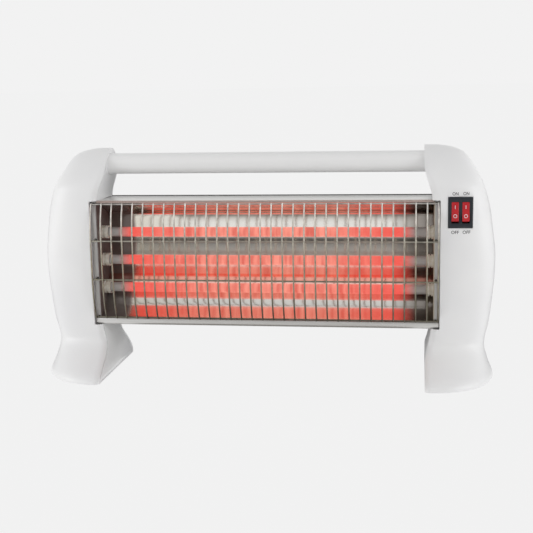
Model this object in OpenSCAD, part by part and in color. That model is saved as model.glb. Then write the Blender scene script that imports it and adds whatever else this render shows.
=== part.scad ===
// Electric bar heater: two moulded legs carry a sheet-metal trough with three quartz tubes.
// Millimetres, +Z up, the front looks along -Y, origin on the floor under the middle.

/* [Legs] */
// Clear distance between the inner faces of the two legs
leg_gap = 320; // [290:1:400]
// Height of the legs
leg_h = 232; // [229:1:250]
// Depth of a foot, front to back
foot_d = 134; // [122:1:150]
// Depth of the upright part of a leg
post_d = 62; // [60:1:68]
// How far the uprights stand behind the middle of the feet
post_y = 6; // [4:0.5:8]
// Width of an upright at its widest
post_w = 70; // [66:1:80]
// Width of a foot near the floor
foot_w = 69.3; // [62:0.1:76]
// Width of the ankle between foot and upright
ankle_w = 60.5; // [57:0.5:64]
// How far the inner side of an upright is waisted
waist = 8; // [5:0.5:10]
// How far the inner side of a foot stands back from that of the crown
foot_in = 1.5; // [0:0.1:3]
// Height over which a foot flares out
flare_h = 40; // [34:1:44]
// Height of the rounded crown
crown_h = 40; // [36:1:42]
// Wall of the moulded shells
shell_wall = 2.4; // [2:0.1:2.8]
// Gap between a shell and its inner cover
cover_gap = 0.3; // [0.2:0.05:0.5]
// How far the front and the back of a leg fall away at its inner edge
edge_fall = 3; // [0:0.1:3.5]
// Width of the rounding along the inner edges of a leg
edge_w = 6; // [5:0.5:9]

/* [Foot pads] */
// Diameter of a rubber pad
pad_dia = 16; // [12:1:20]
// How far the pads lift the legs off the floor
pad_lift = 0.8; // [0.5:0.1:1.5]
// Depth of the pocket that holds a pad
pad_pocket = 1.4; // [1:0.1:1.6]
// Distance between the front and the back pad
pad_span = 92; // [80:1:96]

/* [Handle] */
// Outer diameter of the handle tube
handle_dia = 21; // [16:0.5:22]
// Wall of the handle tube
handle_wall = 1.6; // [1:0.1:2.5]
// Distance from the handle's axis to the top of the legs
handle_drop = 15.6; // [15:0.1:18]
// Depth of the seat that each end of the handle sits in
handle_seat = 1.4; // [1:0.1:1.6]
// Diameter of the plug's spigot that goes through a cover
spigot_dia = 11; // [9:0.5:13]

/* [Housing] */
// Height of the housing
housing_h = 126.9; // [124:0.1:132]
// Depth of the housing
housing_d = 53.5; // [50:0.5:54]
// Height of the housing's underside above the floor
housing_z = 53.3; // [50:0.1:56]
// How far the housing's front edge lies behind the front of the uprights
housing_inset = 5; // [4:0.5:7]
// How far each end of the housing reaches into a leg
housing_bite = 15.2; // [14:0.1:17]
// How much lower the top panel is at its back edge
top_fall = 1.2; // [1:0.1:4]
// Thickness of the sheet metal
sheet = 0.8; // [0.6:0.1:1]
// Height of the front lip at the bottom
lip_low = 6; // [5:0.5:8]
// Clearance of the housing in the recess of a leg
recess_gap = 0.4; // [0.3:0.1:0.8]
// Width of the front flange of an end plate
flange_w = 5.6; // [5:0.1:6.5]
// Length of a vent slot in the back
vent_l = 22; // [14:1:24]
// Height of a vent slot
vent_h = 3; // [2:0.5:4]

/* [Reflector] */
// Depth of the reflector's trough
reflector_d = 44.7; // [40:0.1:46]
// Thickness of the polished sheet
reflector_t = 0.5; // [0.4:0.1:0.8]

/* [Guard] */
// Thickness of the guard wire
wire_dia = 1.6; // [1.4:0.1:2.2]
// Number of upright wires
wire_count = 33; // [25:1:37]
// How far the upright wires bow forward
guard_bow = 7.5; // [5:0.5:10]
// Distance from the housing's front to the upright wires at their ends
guard_stand = 2.7; // [2.4:0.1:4]
// Distance from the housing's top edge down to the guard
guard_drop = 2; // [1.7:0.1:3]
// Distance between the two middle cross wires
cross_gap = 39.7; // [30:0.1:50]
// Length of the prongs that hold the guard in the end plates
prong_l = 6; // [4:0.5:8]

/* [Quartz tubes] */
// Outer diameter of a quartz tube
tube_dia = 10; // [8:0.5:11]
// Wall of a quartz tube
tube_wall = 1; // [0.8:0.1:1.5]
// Distance from one tube to the next
tube_pitch = 29; // [24:0.5:32]
// Height of the middle tube above the housing's underside
tube_rise = 64.3; // [62:0.1:67]
// Distance from the housing's front edge to the tubes
tube_setback = 18; // [16:0.5:21]
// Diameter of the heating coil
coil_dia = 7.2; // [4:0.2:7.6]
// Length of the glowing part of a coil
coil_l = 300; // [250:1:304]
// Diameter of a ceramic cap
cap_dia = 13.5; // [13:0.1:15]
// How far a cap stands out of its end plate
cap_proud = 7; // [5:0.5:9]
// Width of the collar at the inner end of a cap
collar_w = 3.2; // [2:0.1:4]
// How far a cap reaches into the leg
cap_reach = 9; // [7:0.5:11]
// Diameter of a terminal pin
pin_dia = 3; // [2:0.1:4]
// Length of a terminal pin outside its cap
pin_out = 8; // [6:0.5:10]
// Width of the bus bar that joins the three tubes
bus_w = 8; // [6:0.5:10]
// Thickness of the bus bar
bus_t = 1; // [0.8:0.1:1.5]

/* [Switch] */
// Width of the switch bezel
bezel_w = 23.5; // [23:0.5:26]
// Height of the switch bezel
bezel_h = 30.2; // [28:0.1:32]
// Thickness of the bezel
bezel_t = 2; // [1.5:0.1:2.5]
// Distance from the inner face of the leg to the middle of the switch
switch_in = 34.5; // [33:0.5:37]
// Distance from the top of the leg to the middle of the switch
switch_drop = 63; // [60:0.5:66]
// Width of a rocker
rocker_w = 6.8; // [6:0.1:7]
// Length of a rocker
rocker_l = 20.2; // [18:0.1:21]
// Distance between the two rockers
rocker_pitch = 10.1; // [9.8:0.1:10.6]
// Turn of a rocker from ON to OFF, in degrees
rocker_turn = 20; // [14:1:24]
// Diameter of a rocker's pivot pins
pivot_dia = 2.4; // [1.6:0.1:3]

/* [Tip-over switch] */
// Diameter of the plunger
plunger_dia = 5; // [4:0.5:6]
// How far the plunger drops when the heater is lifted
plunger_drop = 4; // [3:0.5:4]

/* [Cord inlet] */
// Bore of the cord gland
gland_bore = 7.2; // [6:0.1:8]
// Height of the cord gland above the floor
gland_z = 48; // [46:1:52]

/* [Screws] */
// Diameter of the screws
screw_dia = 3; // [2.5:0.1:3.5]
// Diameter of the screw heads
head_dia = 6; // [5:0.1:7]
// Clearance of a piece in a hole, on the radius
slip = 0.1; // [0.05:0.01:0.15]

/* [Hidden] */
$fn = 48;
inner_x = leg_gap / 2;
post_front = post_y - post_d / 2;
post_back = post_y + post_d / 2;
crown_z = leg_h - crown_h;
crown_y = post_y + 6;
crest = 0.3;
heel = 6;
heel_out = 1.4;
leg_rows_foot = 9;
leg_rows_post = 12;
leg_rows_crown = 11;
leg_cols = 20;
edge_turns = [88.2, 89.3, 89.8, 90];

housing_front = post_front + housing_inset;
housing_back = housing_front + housing_d;
housing_top = housing_z + housing_h;
housing_end = inner_x + housing_bite;
web_x = housing_end - flange_w;
recess_x = housing_end + recess_gap;
floor_x = recess_x + shell_wall;
mirror_y = housing_front + 1.3;
mirror_low = housing_z + lip_low + 0.5;
mirror_high = housing_top - sheet - 0.3 - reflector_t / 2;

guard_low = housing_z + lip_low + 0.5 + wire_dia / 2;
guard_high = housing_top - guard_drop - wire_dia / 2;
guard_mid = (guard_low + guard_high) / 2;
guard_half = (guard_high - guard_low) / 2;
guard_y = housing_front - guard_stand;
guard_reach = housing_end - 1.2;
cross_mid = guard_mid + 1.9;
cross_z = [guard_low, cross_mid - cross_gap / 2, cross_mid + cross_gap / 2, guard_high];
prong_x = web_x + 2.2;

tube_y = housing_front + tube_setback;
tube_z = housing_z + tube_rise;
tube_end = web_x + 5;
cap_end = floor_x + cap_reach;
pin_end = cap_end + pin_out;
bus_x = cap_end + 0.4 * pin_out;

handle_z = leg_h - handle_drop;
handle_half = inner_x + handle_seat - 0.05;
plug_l = 15;
plug_dia = handle_dia - 2 * handle_wall - 2 * slip;
handle_screw_x = inner_x + shell_wall + 1.2;

screw_y = housing_back - 9.5;
screw_zs = [housing_z + 9.5, housing_top - top_fall - 9];
screw_l = 22;
head_h = 2;
lead_dia = 2.4;
lead_y = housing_back - 6;
lead_z = housing_z + 21;

switch_x = inner_x + switch_in;
switch_z = leg_h - switch_drop;
seat_y = post_front + 1.5;
bezel_y = seat_y - bezel_t;
body_w = bezel_w - 2.5;
body_h = bezel_h - 3.6;
body_d = 14;
pivot_y = bezel_y + 5.4;
rocker_face = 5.4;
rocker_gap = 0.2;
blade = [0.8, 8, 4.8];

foot_x = inner_x + 25;
sole_z = pad_lift + shell_wall;
tip_x = inner_x + 26;
tip_y = 10;
tip_size = [14, 16, 17];
tip_z = sole_z + 0.1;
collar_z = tip_z + 2.2 + plunger_drop + 0.3;

gland_x = inner_x + 30;
block_size = [12, 14, 26];
block_at = [floor_x, tube_y + 16, tube_z - 21];

// ---- Form of a leg ----

function clip(t) = max(0, min(1, t));
function ease(t) = let(u = clip(t)) u * u * (3 - 2 * u);
function ease_slope(t) = let(u = clip(t)) 6 * u * (1 - u);
function super_arc(t, n) = pow(max(0, 1 - pow(t, n)), 1 / n);
function reversed(list) = [for (i = [len(list) - 1 : -1 : 0]) list[i]];
function crown_t(z) = clip((z - crown_z) / (crown_h + crest));

// Outer side of a leg: height against width, measured from the inner face
outer_rows = [
    [0, foot_w - 2.8], [4, foot_w], [15, foot_w - 4.3], [34, ankle_w], [60, ankle_w + 4.5],
    [leg_h - 114, post_w], [leg_h - 72, post_w - 4.2], [leg_h - 52, post_w - 8],
    [leg_h - 32, post_w - 15], [leg_h - 20, post_w - 22], [leg_h - 12, post_w - 27],
    [leg_h - 6, post_w - 33.5], [leg_h - 2, post_w - 44], [leg_h, post_w - 56]];

function row_slope(r, i) =
    let(a = max(0, i - 1), b = min(len(r) - 1, i + 1)) (r[b][1] - r[a][1]) / (r[b][0] - r[a][0]);
function row_at(r, z, i = 0) =
    i < len(r) - 2 && z > r[i + 1][0] ? row_at(r, z, i + 1) :
    let(w = r[i + 1][0] - r[i][0], t = clip((z - r[i][0]) / w), h = ease(t))
    r[i][1] + (r[i + 1][1] - r[i][1]) * h
        + w * t * (1 - t) * ((1 - t) * row_slope(r, i) - t * row_slope(r, i + 1));

function outer_x(z) = inner_x + row_at(outer_rows, z);
function face_x(z) = inner_x
    + min(max(foot_in, waist * ease((z - 10) / 50)), waist * ease((leg_h - 17 - z) / 35));
function heel_tuck(z) = heel * pow(max(0, 1 - z / heel), 2) * 0.7;
function front_y(z) = z > crown_z
    ? crown_y - (crown_y - post_front) * super_arc(crown_t(z), 1.5)
    : -foot_d / 2 + (post_front + foot_d / 2) * ease(z / flare_h);
function back_y(z) = z > crown_z
    ? crown_y + (post_back - crown_y) * super_arc(crown_t(z), 2)
    : foot_d / 2 + heel_out - heel_tuck(z) + (post_back - foot_d / 2 - heel_out) * ease(z / flare_h);
function squareness(z) = 2.2 + ease(z / 70) * (1 - ease(crown_t(z)));

// A wall of thickness d is measured square to the surface, so it widens on the flare
function flare_slope(z) = (post_front + foot_d / 2) * ease_slope(z / flare_h) / flare_h;
function crown_lean(z) = sqrt(1 - pow(crown_t(z), 2));
function wall_y(z, d) = d * (z > crown_z ? crown_lean(z) : sqrt(1 + pow(flare_slope(z), 2)));
function wall_z(z, d) = z - d * crown_t(z) + d * max(0, 1 - (z - pad_lift) / (3 * shell_wall));

leg_zs = concat(
    [for (k = [0 : leg_rows_foot]) pad_lift + (flare_h - pad_lift) * k / leg_rows_foot],
    [for (k = [1 : leg_rows_post]) flare_h + (crown_z - flare_h) * k / leg_rows_post],
    [for (k = [1 : leg_rows_crown]) crown_z + crown_h * sin(90 * k / leg_rows_crown)]);

// The turns of a section's columns, closer together along the inner edges
leg_turns = concat(-reversed(edge_turns),
    [for (j = [1 : leg_cols - 1]) 180 * j / leg_cols - 90], edge_turns);

function edge_drop(x, z) = edge_fall * pow(max(0, 1 - x / edge_w), 2) * (1 - ease(crown_t(z)));
function arc_x(t, n) = pow(max(0, cos(t)), 2 / n);
function arc_y(t, n) = sign(t) * pow(abs(sin(t)), 2 / n);
function leg_section(z, d) = let(
    height = wall_z(z, d),
    near = face_x(height),
    far = outer_x(z) - d * crown_lean(z),
    front = front_y(z) + wall_y(z, d),
    back = back_y(z) - wall_y(z, d),
    n = squareness(z))
    [for (t = leg_turns) let(x = (far - near) * arc_x(t, n), half = (back - front) / 2 - edge_drop(x, z))
        [near + x, (front + back) / 2 + half * arc_y(t, n), height]];

// Place of the outer skin at a given depth and height
function skin_x(y, z) = let(
    mid = (front_y(z) + back_y(z)) / 2,
    half = (back_y(z) - front_y(z)) / 2)
    face_x(z) + (outer_x(z) - face_x(z)) * super_arc(abs(y - mid) / half, squareness(z));

module leg_shell_form() {
    rows = len(leg_zs);
    cols = len(leg_turns);
    last = cols - 1;
    top = rows - 1;
    inside = rows * cols;
    points = concat(
        [for (z = leg_zs) each leg_section(z, 0)],
        [for (z = leg_zs) each leg_section(z, shell_wall)]);
    outer_faces = [for (i = [0 : top - 1], j = [0 : last - 1]) let(p = i * cols + j)
        each [[p, p + cols, p + cols + 1], [p, p + cols + 1, p + 1]]];
    inner_faces = [for (f = outer_faces) [f[0] + inside, f[2] + inside, f[1] + inside]];
    front_rim = [for (i = [0 : top - 1]) let(p = i * cols, q = p + inside)
        each [[p, q, q + cols], [p, q + cols, p + cols]]];
    back_rim = [for (i = [0 : top - 1]) let(p = i * cols + last, q = p + inside)
        each [[q, p, p + cols], [q, p + cols, q + cols]]];
    low = [0, last, inside, inside + last];
    high = [for (p = low) p + top * cols];
    caps = [
        [for (j = [0 : last]) j],
        [for (j = [last : -1 : 0]) inside + j],
        [for (j = [last : -1 : 0]) top * cols + j],
        [for (j = [0 : last]) inside + top * cols + j],
        [low[0], low[1], low[3]], [low[0], low[3], low[2]],
        [high[2], high[3], high[1]], [high[2], high[1], high[0]]];
    polyhedron(points, concat(outer_faces, inner_faces, front_rim, back_rim, caps));
}

module leg_cover_form() {
    rows = len(leg_zs);
    inset = shell_wall + cover_gap;
    points = [for (z = leg_zs) let(
            height = wall_z(z, inset),
            near = face_x(height),
            front = front_y(z) + wall_y(z, inset) + edge_drop(0, z),
            back = back_y(z) - wall_y(z, inset) - edge_drop(0, z))
        each [[near, front, height], [near + shell_wall, front, height],
            [near + shell_wall, back, height], [near, back, height]]];
    sides = [for (i = [0 : rows - 2], j = [0 : 3]) let(p = 4 * i + j, q = 4 * i + (j + 1) % 4)
        each [[p, p + 4, q + 4], [p, q + 4, q]]];
    last = 4 * (rows - 1);
    ends = [[0, 1, 2, 3], [last + 3, last + 2, last + 1, last]];
    polyhedron(points, concat(sides, ends));
}

// ---- Helpers ----

module mirrored() mirror([1, 0, 0]) children();
module along_x(from, to) translate([from, 0, 0]) rotate([90, 0, 90]) linear_extrude(to - from) children();
module rod(from, to, y, z, dia) translate([from, y, z]) rotate([0, 90, 0]) cylinder(h = to - from, d = dia);

function unit(v) = v / norm(v);
function across(a, b) = let(u = unit(b - a)) [-u[1], u[0]];
function beside(path, off) = [for (i = [0 : len(path) - 1]) let(
    before = across(path[max(0, i - 1)], path[max(1, i)]),
    after = i == len(path) - 1 ? before : across(path[i], path[i + 1]),
    m = unit(before + after)) path[i] + m * off / (m * before)];
module strip(path, thick) polygon(concat(beside(path, thick / 2), reversed(beside(path, -thick / 2))));

module lead(points) {
    for (i = [0 : len(points) - 2]) hull() {
        translate(points[i]) sphere(d = lead_dia, $fn = 8);
        translate(points[i + 1]) sphere(d = lead_dia, $fn = 8);
    }
}

// ---- Legs ----

// The walls of the recess start inside the cover's own wall, at its height above and below the housing
module recess_block(grow) {
    low = housing_z - recess_gap - grow;
    high = housing_top + recess_gap + grow;
    inset = shell_wall + cover_gap + edge_fall;
    translate([0, post_back - inset, 0]) rotate([90, 0, 0]) linear_extrude(post_d - 2 * inset)
        polygon([[face_x(low) + grow / 2, low], [recess_x + grow, low],
            [recess_x + grow, high], [face_x(high) + grow / 2, high]]);
}

module housing_notch(back) {
    translate([inner_x - 20, post_front - 5, housing_z - recess_gap])
        cube([recess_x - inner_x + 20, back - post_front + 5, housing_h + 2 * recess_gap]);
}

module screw_bosses() {
    boss_r = 1.5 * screw_dia;
    for (z = screw_zs)
        rod(floor_x + 0.1, skin_x(screw_y + boss_r, z) - shell_wall / 2, screw_y, z, 2 * boss_r);
}

module pad_pockets() {
    for (s = [-1, 1]) translate([foot_x, s * pad_span / 2, 0])
        cylinder(h = pad_lift + pad_pocket, d = pad_dia + 2 * slip);
}

module plain_shell() {
    difference() {
        union() {
            leg_shell_form();
            screw_bosses();
        }
        housing_notch(housing_back + recess_gap);
        for (z = screw_zs) rod(floor_x, floor_x + screw_l, screw_y, z, screw_dia + 2 * slip);
        rod(inner_x - 1, inner_x + handle_seat, post_y, handle_z, handle_dia + 2 * slip);
        pad_pockets();
    }
}

module plain_cover() {
    difference() {
        union() {
            leg_cover_form();
            recess_block(shell_wall);
        }
        housing_notch(post_back);
        for (i = [-1 : 1]) rod(recess_x - 1, floor_x + 1, tube_y, tube_z + i * tube_pitch, cap_dia + 0.5);
        for (z = screw_zs) rod(recess_x - 1, floor_x + 1, screw_y, z, screw_dia + 2 * slip);
        rod(recess_x - 1, floor_x + 1, lead_y, lead_z, lead_dia + 1.6);
        rod(inner_x - 1, inner_x + handle_seat, post_y, handle_z, handle_dia + 2 * slip);
        rod(inner_x - 1, inner_x + 5, post_y, handle_z, spigot_dia + 2 * slip);
    }
}

module left_outer_shell() color("whitesmoke") mirrored() plain_shell();

module right_outer_shell() color("whitesmoke") {
    difference() {
        union() {
            plain_shell();
            translate([switch_x - bezel_w / 2 - 1, seat_y, switch_z - bezel_h / 2 - 1])
                cube([bezel_w + 2, 3.5, bezel_h + 2]);
            translate([gland_x, post_back - 4, gland_z]) rotate([-90, 0, 0]) cylinder(h = 4, d = 20);
        }
        translate([switch_x - bezel_w / 2 - 0.2, post_front - 5, switch_z - bezel_h / 2 - 0.2])
            cube([bezel_w + 0.4, seat_y - post_front + 5, bezel_h + 0.4]);
        translate([switch_x - body_w / 2 - 0.2, post_front - 5, switch_z - body_h / 2 - 0.2])
            cube([body_w + 0.4, 20, body_h + 0.4]);
        translate([gland_x, post_back - 12, gland_z]) rotate([-90, 0, 0])
            cylinder(h = 20, d = gland_bore + 3.6 + 2 * slip);
        translate([tip_x, tip_y, -1]) cylinder(h = sole_z + 2, d = plunger_dia + 1);
    }
}

module left_inner_cover() color("white") mirrored() plain_cover();
module right_inner_cover() color("white") plain_cover();

module foot_pads() {
    for (s = [-1, 1]) translate([foot_x, s * pad_span / 2, 0])
        cylinder(h = pad_lift + pad_pocket - 0.05, d = pad_dia);
}

module left_foot_pads() color("dimgray") mirrored() foot_pads();
module right_foot_pads() color("dimgray") foot_pads();

// A pan-head screw along X, its head on the inner side of the plate at x
module plate_screw(x, y, z) {
    difference() {
        union() {
            rod(x - head_h, x, y, z, head_dia);
            rod(x, floor_x + screw_l - 2, y, z, screw_dia);
        }
        translate([x - head_h, y, z]) cube([2, 3.4, 0.8], center = true);
        translate([x - head_h, y, z]) cube([2, 0.8, 3.4], center = true);
    }
}

module leg_screws() for (z = screw_zs) plate_screw(web_x, screw_y, z);
module left_leg_screws() color("silver") mirrored() leg_screws();
module right_leg_screws() color("silver") leg_screws();

// ---- Handle ----

module handle_tube() color("white") {
    difference() {
        rod(-handle_half, handle_half, post_y, handle_z, handle_dia);
        rod(-handle_half - 1, handle_half + 1, post_y, handle_z, handle_dia - 2 * handle_wall);
    }
}

module end_plug() {
    difference() {
        union() {
            rod(handle_half - plug_l, handle_half, post_y, handle_z, plug_dia);
            rod(handle_half - 0.1, handle_screw_x, post_y, handle_z, spigot_dia);
        }
        rod(handle_half - plug_l - 1, handle_screw_x + 1, post_y, handle_z, 4 + 2 * slip);
    }
}

module handle_end_plugs() color("gainsboro") {
    end_plug();
    mirrored() end_plug();
}

module handle_screw() {
    rod(handle_half - plug_l + 1, handle_screw_x + 0.05, post_y, handle_z, 4);
    difference() {
        rod(handle_screw_x, handle_screw_x + 2.6, post_y, handle_z, spigot_dia + 3);
        translate([handle_screw_x + 2.6, post_y, handle_z]) cube([2.4, 5, 1], center = true);
        translate([handle_screw_x + 2.6, post_y, handle_z]) cube([2.4, 1, 5], center = true);
    }
}

module handle_screws() color("silver") {
    handle_screw();
    mirrored() handle_screw();
}

// ---- Housing ----

housing_path = let(h = sheet / 2) [
    [housing_front + h, housing_z + lip_low],
    [housing_front + h, housing_z + h],
    [housing_back - h, housing_z + h],
    [housing_back - h, housing_top - top_fall - h],
    [housing_front, housing_top - h]];

module vent_slot(x, z) translate([x, housing_back, z]) cube([vent_l, 4 * sheet, vent_h], center = true);

module back_housing() color("silver") {
    difference() {
        along_x(-housing_end, housing_end) strip(housing_path, sheet);
        for (i = [-5 : 5], row = [0 : 3]) {
            vent_slot(i * (vent_l + 5), housing_top - 24 - row * 8);
            vent_slot(i * (vent_l + 5), housing_z + 20 + row * 8);
        }
    }
}

// The reflector's curve, as shares of its depth and height: it bends towards these corners and
// runs through the middles between them
reflector_form = [[0, 0], [0.306, 0.039], [0.55, 0.175], [1.056, 0.563],
    [0.915, 0.855], [0.792, 0.895], [0, 1]];
bends = len(reflector_form) - 2;
function knot(i) =
    i == 0 ? reflector_form[0] :
    i == bends ? reflector_form[i + 1] :
    (reflector_form[i] + reflector_form[i + 1]) / 2;
function bend_at(i, t) =
    (1 - t) * (1 - t) * knot(i - 1) + 2 * t * (1 - t) * reflector_form[i] + t * t * knot(i);
trough_path = [for (i = [1 : bends], k = [i == 1 ? 0 : 1 : 6]) let(p = bend_at(i, k / 6))
    [mirror_y + reflector_d * p[0], mirror_low + (mirror_high - mirror_low) * p[1]]];

module reflector() color("lightgray")
    along_x(-web_x + 0.2, web_x - 0.2) strip(trough_path, reflector_t);

function end_outline(inset) = [
    [housing_front + inset, housing_z + inset],
    [housing_back - inset, housing_z + inset],
    [housing_back - inset, housing_top - top_fall - inset],
    [housing_front + inset, housing_top - inset]];

module end_plate() {
    fit = sheet + 0.1;
    difference() {
        along_x(web_x, housing_end) polygon(end_outline(fit));
        along_x(web_x + sheet, housing_end + 1) polygon(end_outline(fit + sheet));
        for (i = [-1 : 1]) rod(web_x - 1, web_x + 2, tube_y, tube_z + i * tube_pitch, cap_dia + 0.5);
        for (z = screw_zs) rod(web_x - 1, web_x + 2, screw_y, z, screw_dia + 2 * slip);
        rod(web_x - 1, web_x + 2, lead_y, lead_z, lead_dia + 1.6);
        for (z = cross_z) translate([prong_x, housing_front - 1, z]) rotate([-90, 0, 0])
            cylinder(h = prong_l + 2, d = 1.5 * wire_dia + 0.3);
    }
}

module left_end_plate() color("lightgray") mirrored() end_plate();
module right_end_plate() color("lightgray") end_plate();

// ---- Guard ----

function wire_y(z) = guard_y - guard_bow * (1 - pow(abs(z - guard_mid) / guard_half, 3.5));
wire_path = [for (k = [0 : 16]) let(z = guard_mid - (guard_half + 0.7 * wire_dia) * cos(180 * k / 16))
    [wire_y(max(guard_low, min(guard_high, z))), z]];

// The cross wires lie behind the upright wires and are welded to them
module cross_wire(z) {
    y = wire_y(z) + 0.9 * wire_dia;
    thick = [2 * guard_reach + wire_dia + 0.4, wire_dia, wire_dia];
    translate([0, y, z]) cube(thick, center = true);
    for (s = [-1, 1]) translate([s * prong_x - wire_dia / 2, y, z - wire_dia / 2])
        cube([wire_dia, housing_front + prong_l - y, wire_dia]);
}

module wire_guard() color("silver") {
    pitch = 2 * guard_reach / (wire_count - 1);
    for (k = [0 : wire_count - 1]) let(x = k * pitch - guard_reach)
        along_x(x - wire_dia / 2, x + wire_dia / 2) strip(wire_path, wire_dia);
    for (z = cross_z) cross_wire(z);
}

// ---- Quartz tubes, one for each of the rows -1, 0 and 1 ----

module quartz_tube(row) color("mistyrose") {
    z = tube_z + row * tube_pitch;
    difference() {
        rod(-tube_end, tube_end, tube_y, z, tube_dia);
        rod(-tube_end - 1, tube_end + 1, tube_y, z, tube_dia - 2 * tube_wall);
    }
}

module heating_coil(row) color("orangered") {
    z = tube_z + row * tube_pitch;
    rod(-coil_l / 2, coil_l / 2, tube_y, z, coil_dia);
    rod(-tube_end - 1, tube_end + 1, tube_y, z, 1.4);
}

// A ceramic cap: collar, neck and body of revolution about the tube's axis
module cap(row) {
    r = cap_dia / 2;
    start = web_x - cap_proud;
    l = cap_end - start;
    neck = collar_w + 1.4;
    hole = tube_dia / 2 + slip;
    depth = tube_end - start + 1.5;
    translate([start, tube_y, tube_z + row * tube_pitch]) rotate([0, 90, 0]) rotate_extrude()
        polygon([[hole, 0], [r, 0], [r, collar_w], [r - 1.1, collar_w], [r - 1.1, neck], [r, neck],
            [r, l - 4], [r - 1.5, l - 4], [r - 1.5, l], [pin_dia / 2 + slip, l],
            [pin_dia / 2 + slip, depth], [hole, depth]]);
}

module left_cap(row) color("antiquewhite") mirrored() cap(row);
module right_cap(row) color("antiquewhite") cap(row);

module terminal_pins() {
    for (row = [-1 : 1]) rod(tube_end + 1.2, pin_end, tube_y, tube_z + row * tube_pitch, pin_dia);
}

module left_terminal_pins() color("goldenrod") mirrored() terminal_pins();
module right_terminal_pins() color("goldenrod") terminal_pins();

module left_bus_bar() color("darkgoldenrod") mirrored() difference() {
    translate([bus_x, tube_y - bus_w / 2, tube_z - tube_pitch - 0.6 * bus_w])
        cube([bus_t, bus_w, 2 * tube_pitch + 1.2 * bus_w]);
    for (row = [-1 : 1])
        rod(bus_x - 1, bus_x + bus_t + 1, tube_y, tube_z + row * tube_pitch, pin_dia + 2 * slip);
}

// ---- Switch ----

module switch_body() color("#23272b") {
    window = [rocker_w + 2 * rocker_gap, 12, rocker_l + 0.5];
    difference() {
        union() {
            translate([switch_x - bezel_w / 2, bezel_y, switch_z - bezel_h / 2])
                cube([bezel_w, bezel_t, bezel_h]);
            translate([switch_x - body_w / 2, bezel_y, switch_z - body_h / 2])
                cube([body_w, body_d, body_h]);
        }
        for (s = [-0.5, 0.5]) {
            left = switch_x + s * rocker_pitch - window[0] / 2;
            translate([left, bezel_y - 2, switch_z - window[2] / 2]) cube(window);
            rod(left - 1, left + window[0] + 1, pivot_y, switch_z, pivot_dia + slip);
        }
    }
}

function turned(p, a) = [p[0] * cos(a) - p[1] * sin(a), p[0] * sin(a) + p[1] * cos(a)];

// Side view of a rocker about its pivot, half-way between ON and OFF
module rocker_outline() {
    a = rocker_turn / 2;
    tip = turned([-rocker_face, rocker_l / 2], a);
    root = turned([-1, rocker_l / 2], a);
    valley = -rocker_face * cos(a) - tan(a) * rocker_face * sin(a);
    polygon([[valley, 0], tip, root, [1.6, 4], [2.6, 0], [1.6, -4],
        [root[0], -root[1]], [tip[0], -tip[1]]]);
}

module rocker(side) color("red") {
    x = switch_x + side * rocker_pitch / 2;
    translate([x, pivot_y, switch_z]) rotate([-rocker_turn / 2, 0, 0]) {
        along_x(-rocker_w / 2, rocker_w / 2) rocker_outline();
        rod(-rocker_w / 2 - 0.9, rocker_w / 2 + 0.9, 0, 0, pivot_dia);
    }
}

module rocker_left() rocker(-1);
module rocker_right() rocker(1);

module switch_terminals() color("goldenrod") {
    for (s = [-0.5, 0.5], z = [switch_z - 7, switch_z + 7])
        translate([switch_x + s * rocker_pitch - blade[0] / 2, bezel_y + body_d, z - blade[2] / 2])
            cube(blade);
}

// ---- Electrics in the right leg ----

module terminal_block() color("ivory") difference() {
    translate(block_at) cube(block_size);
    for (y = [4, 10], z = [-1, block_size[2] - 8])
        translate(block_at + [block_size[0] / 2, y, z]) cylinder(h = 9, d = lead_dia + 0.6);
}

module lead_wires() color("firebrick") {
    bx = block_at[0] + block_size[0] / 2;
    by = block_at[1] + 4;
    low = block_at[2] + 5;
    high = block_at[2] + block_size[2] - 5;
    blade_y = bezel_y + body_d + blade[1] + lead_dia / 2 + 0.2;
    top_z = tube_z + tube_pitch;
    far = pin_end + lead_dia / 2 + 0.2;
    boss_z = screw_zs[0];
    // Mains leads from the gland to the block, in front of and behind the lower screw's boss
    lead([[bx, by, low], [bx, by, block_at[2] - 3], [bx, screw_y - 8, boss_z + 10],
        [bx, screw_y - 8, boss_z - 5], [gland_x + 1.4, post_back - 12, gland_z + 1]]);
    lead([[bx, by + 6, low], [bx, by + 6, block_at[2] - 3], [bx, screw_y + 7.2, boss_z + 10],
        [bx, screw_y + 7.2, boss_z - 4], [bx, post_back - 12, boss_z - 8],
        [gland_x - 1.6, post_back - 12, gland_z - 1]]);
    // Feed from the block to both blades at the top of the switch
    lead([[bx, by, high], [bx, by, switch_z - 8], [switch_x - rocker_pitch / 2, blade_y, switch_z + 5],
        [switch_x + rocker_pitch / 2, blade_y, switch_z + 7]]);
    // From the lower blades to the tubes
    lead([[switch_x - rocker_pitch / 2, blade_y, switch_z - 7], [far + 3, tube_y + 5, top_z + 8],
        [far, tube_y, top_z]]);
    lead([[switch_x + rocker_pitch / 2, blade_y, switch_z - 7], [far + 10, tube_y + 6, top_z],
        [far + 4, tube_y + 2, tube_z + 6], [far, tube_y, tube_z],
        [far + 5, tube_y + 4, tube_z - tube_pitch / 2], [far, tube_y, tube_z - tube_pitch]]);
    // Return from the bus bar, behind the reflector, to the block
    lead([[-bus_x - bus_t - 1.4, tube_y + 2, tube_z - tube_pitch / 2], [-bus_x - 3, lead_y - 2, lead_z + 4],
        [-bus_x + 2, lead_y, lead_z], [bus_x - 2, lead_y, lead_z], [bx + 4, by + 10, block_at[2] - 8],
        [bx + 0.2, by + 6, block_at[2] - 0.2 - lead_dia / 2]]);
}

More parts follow.
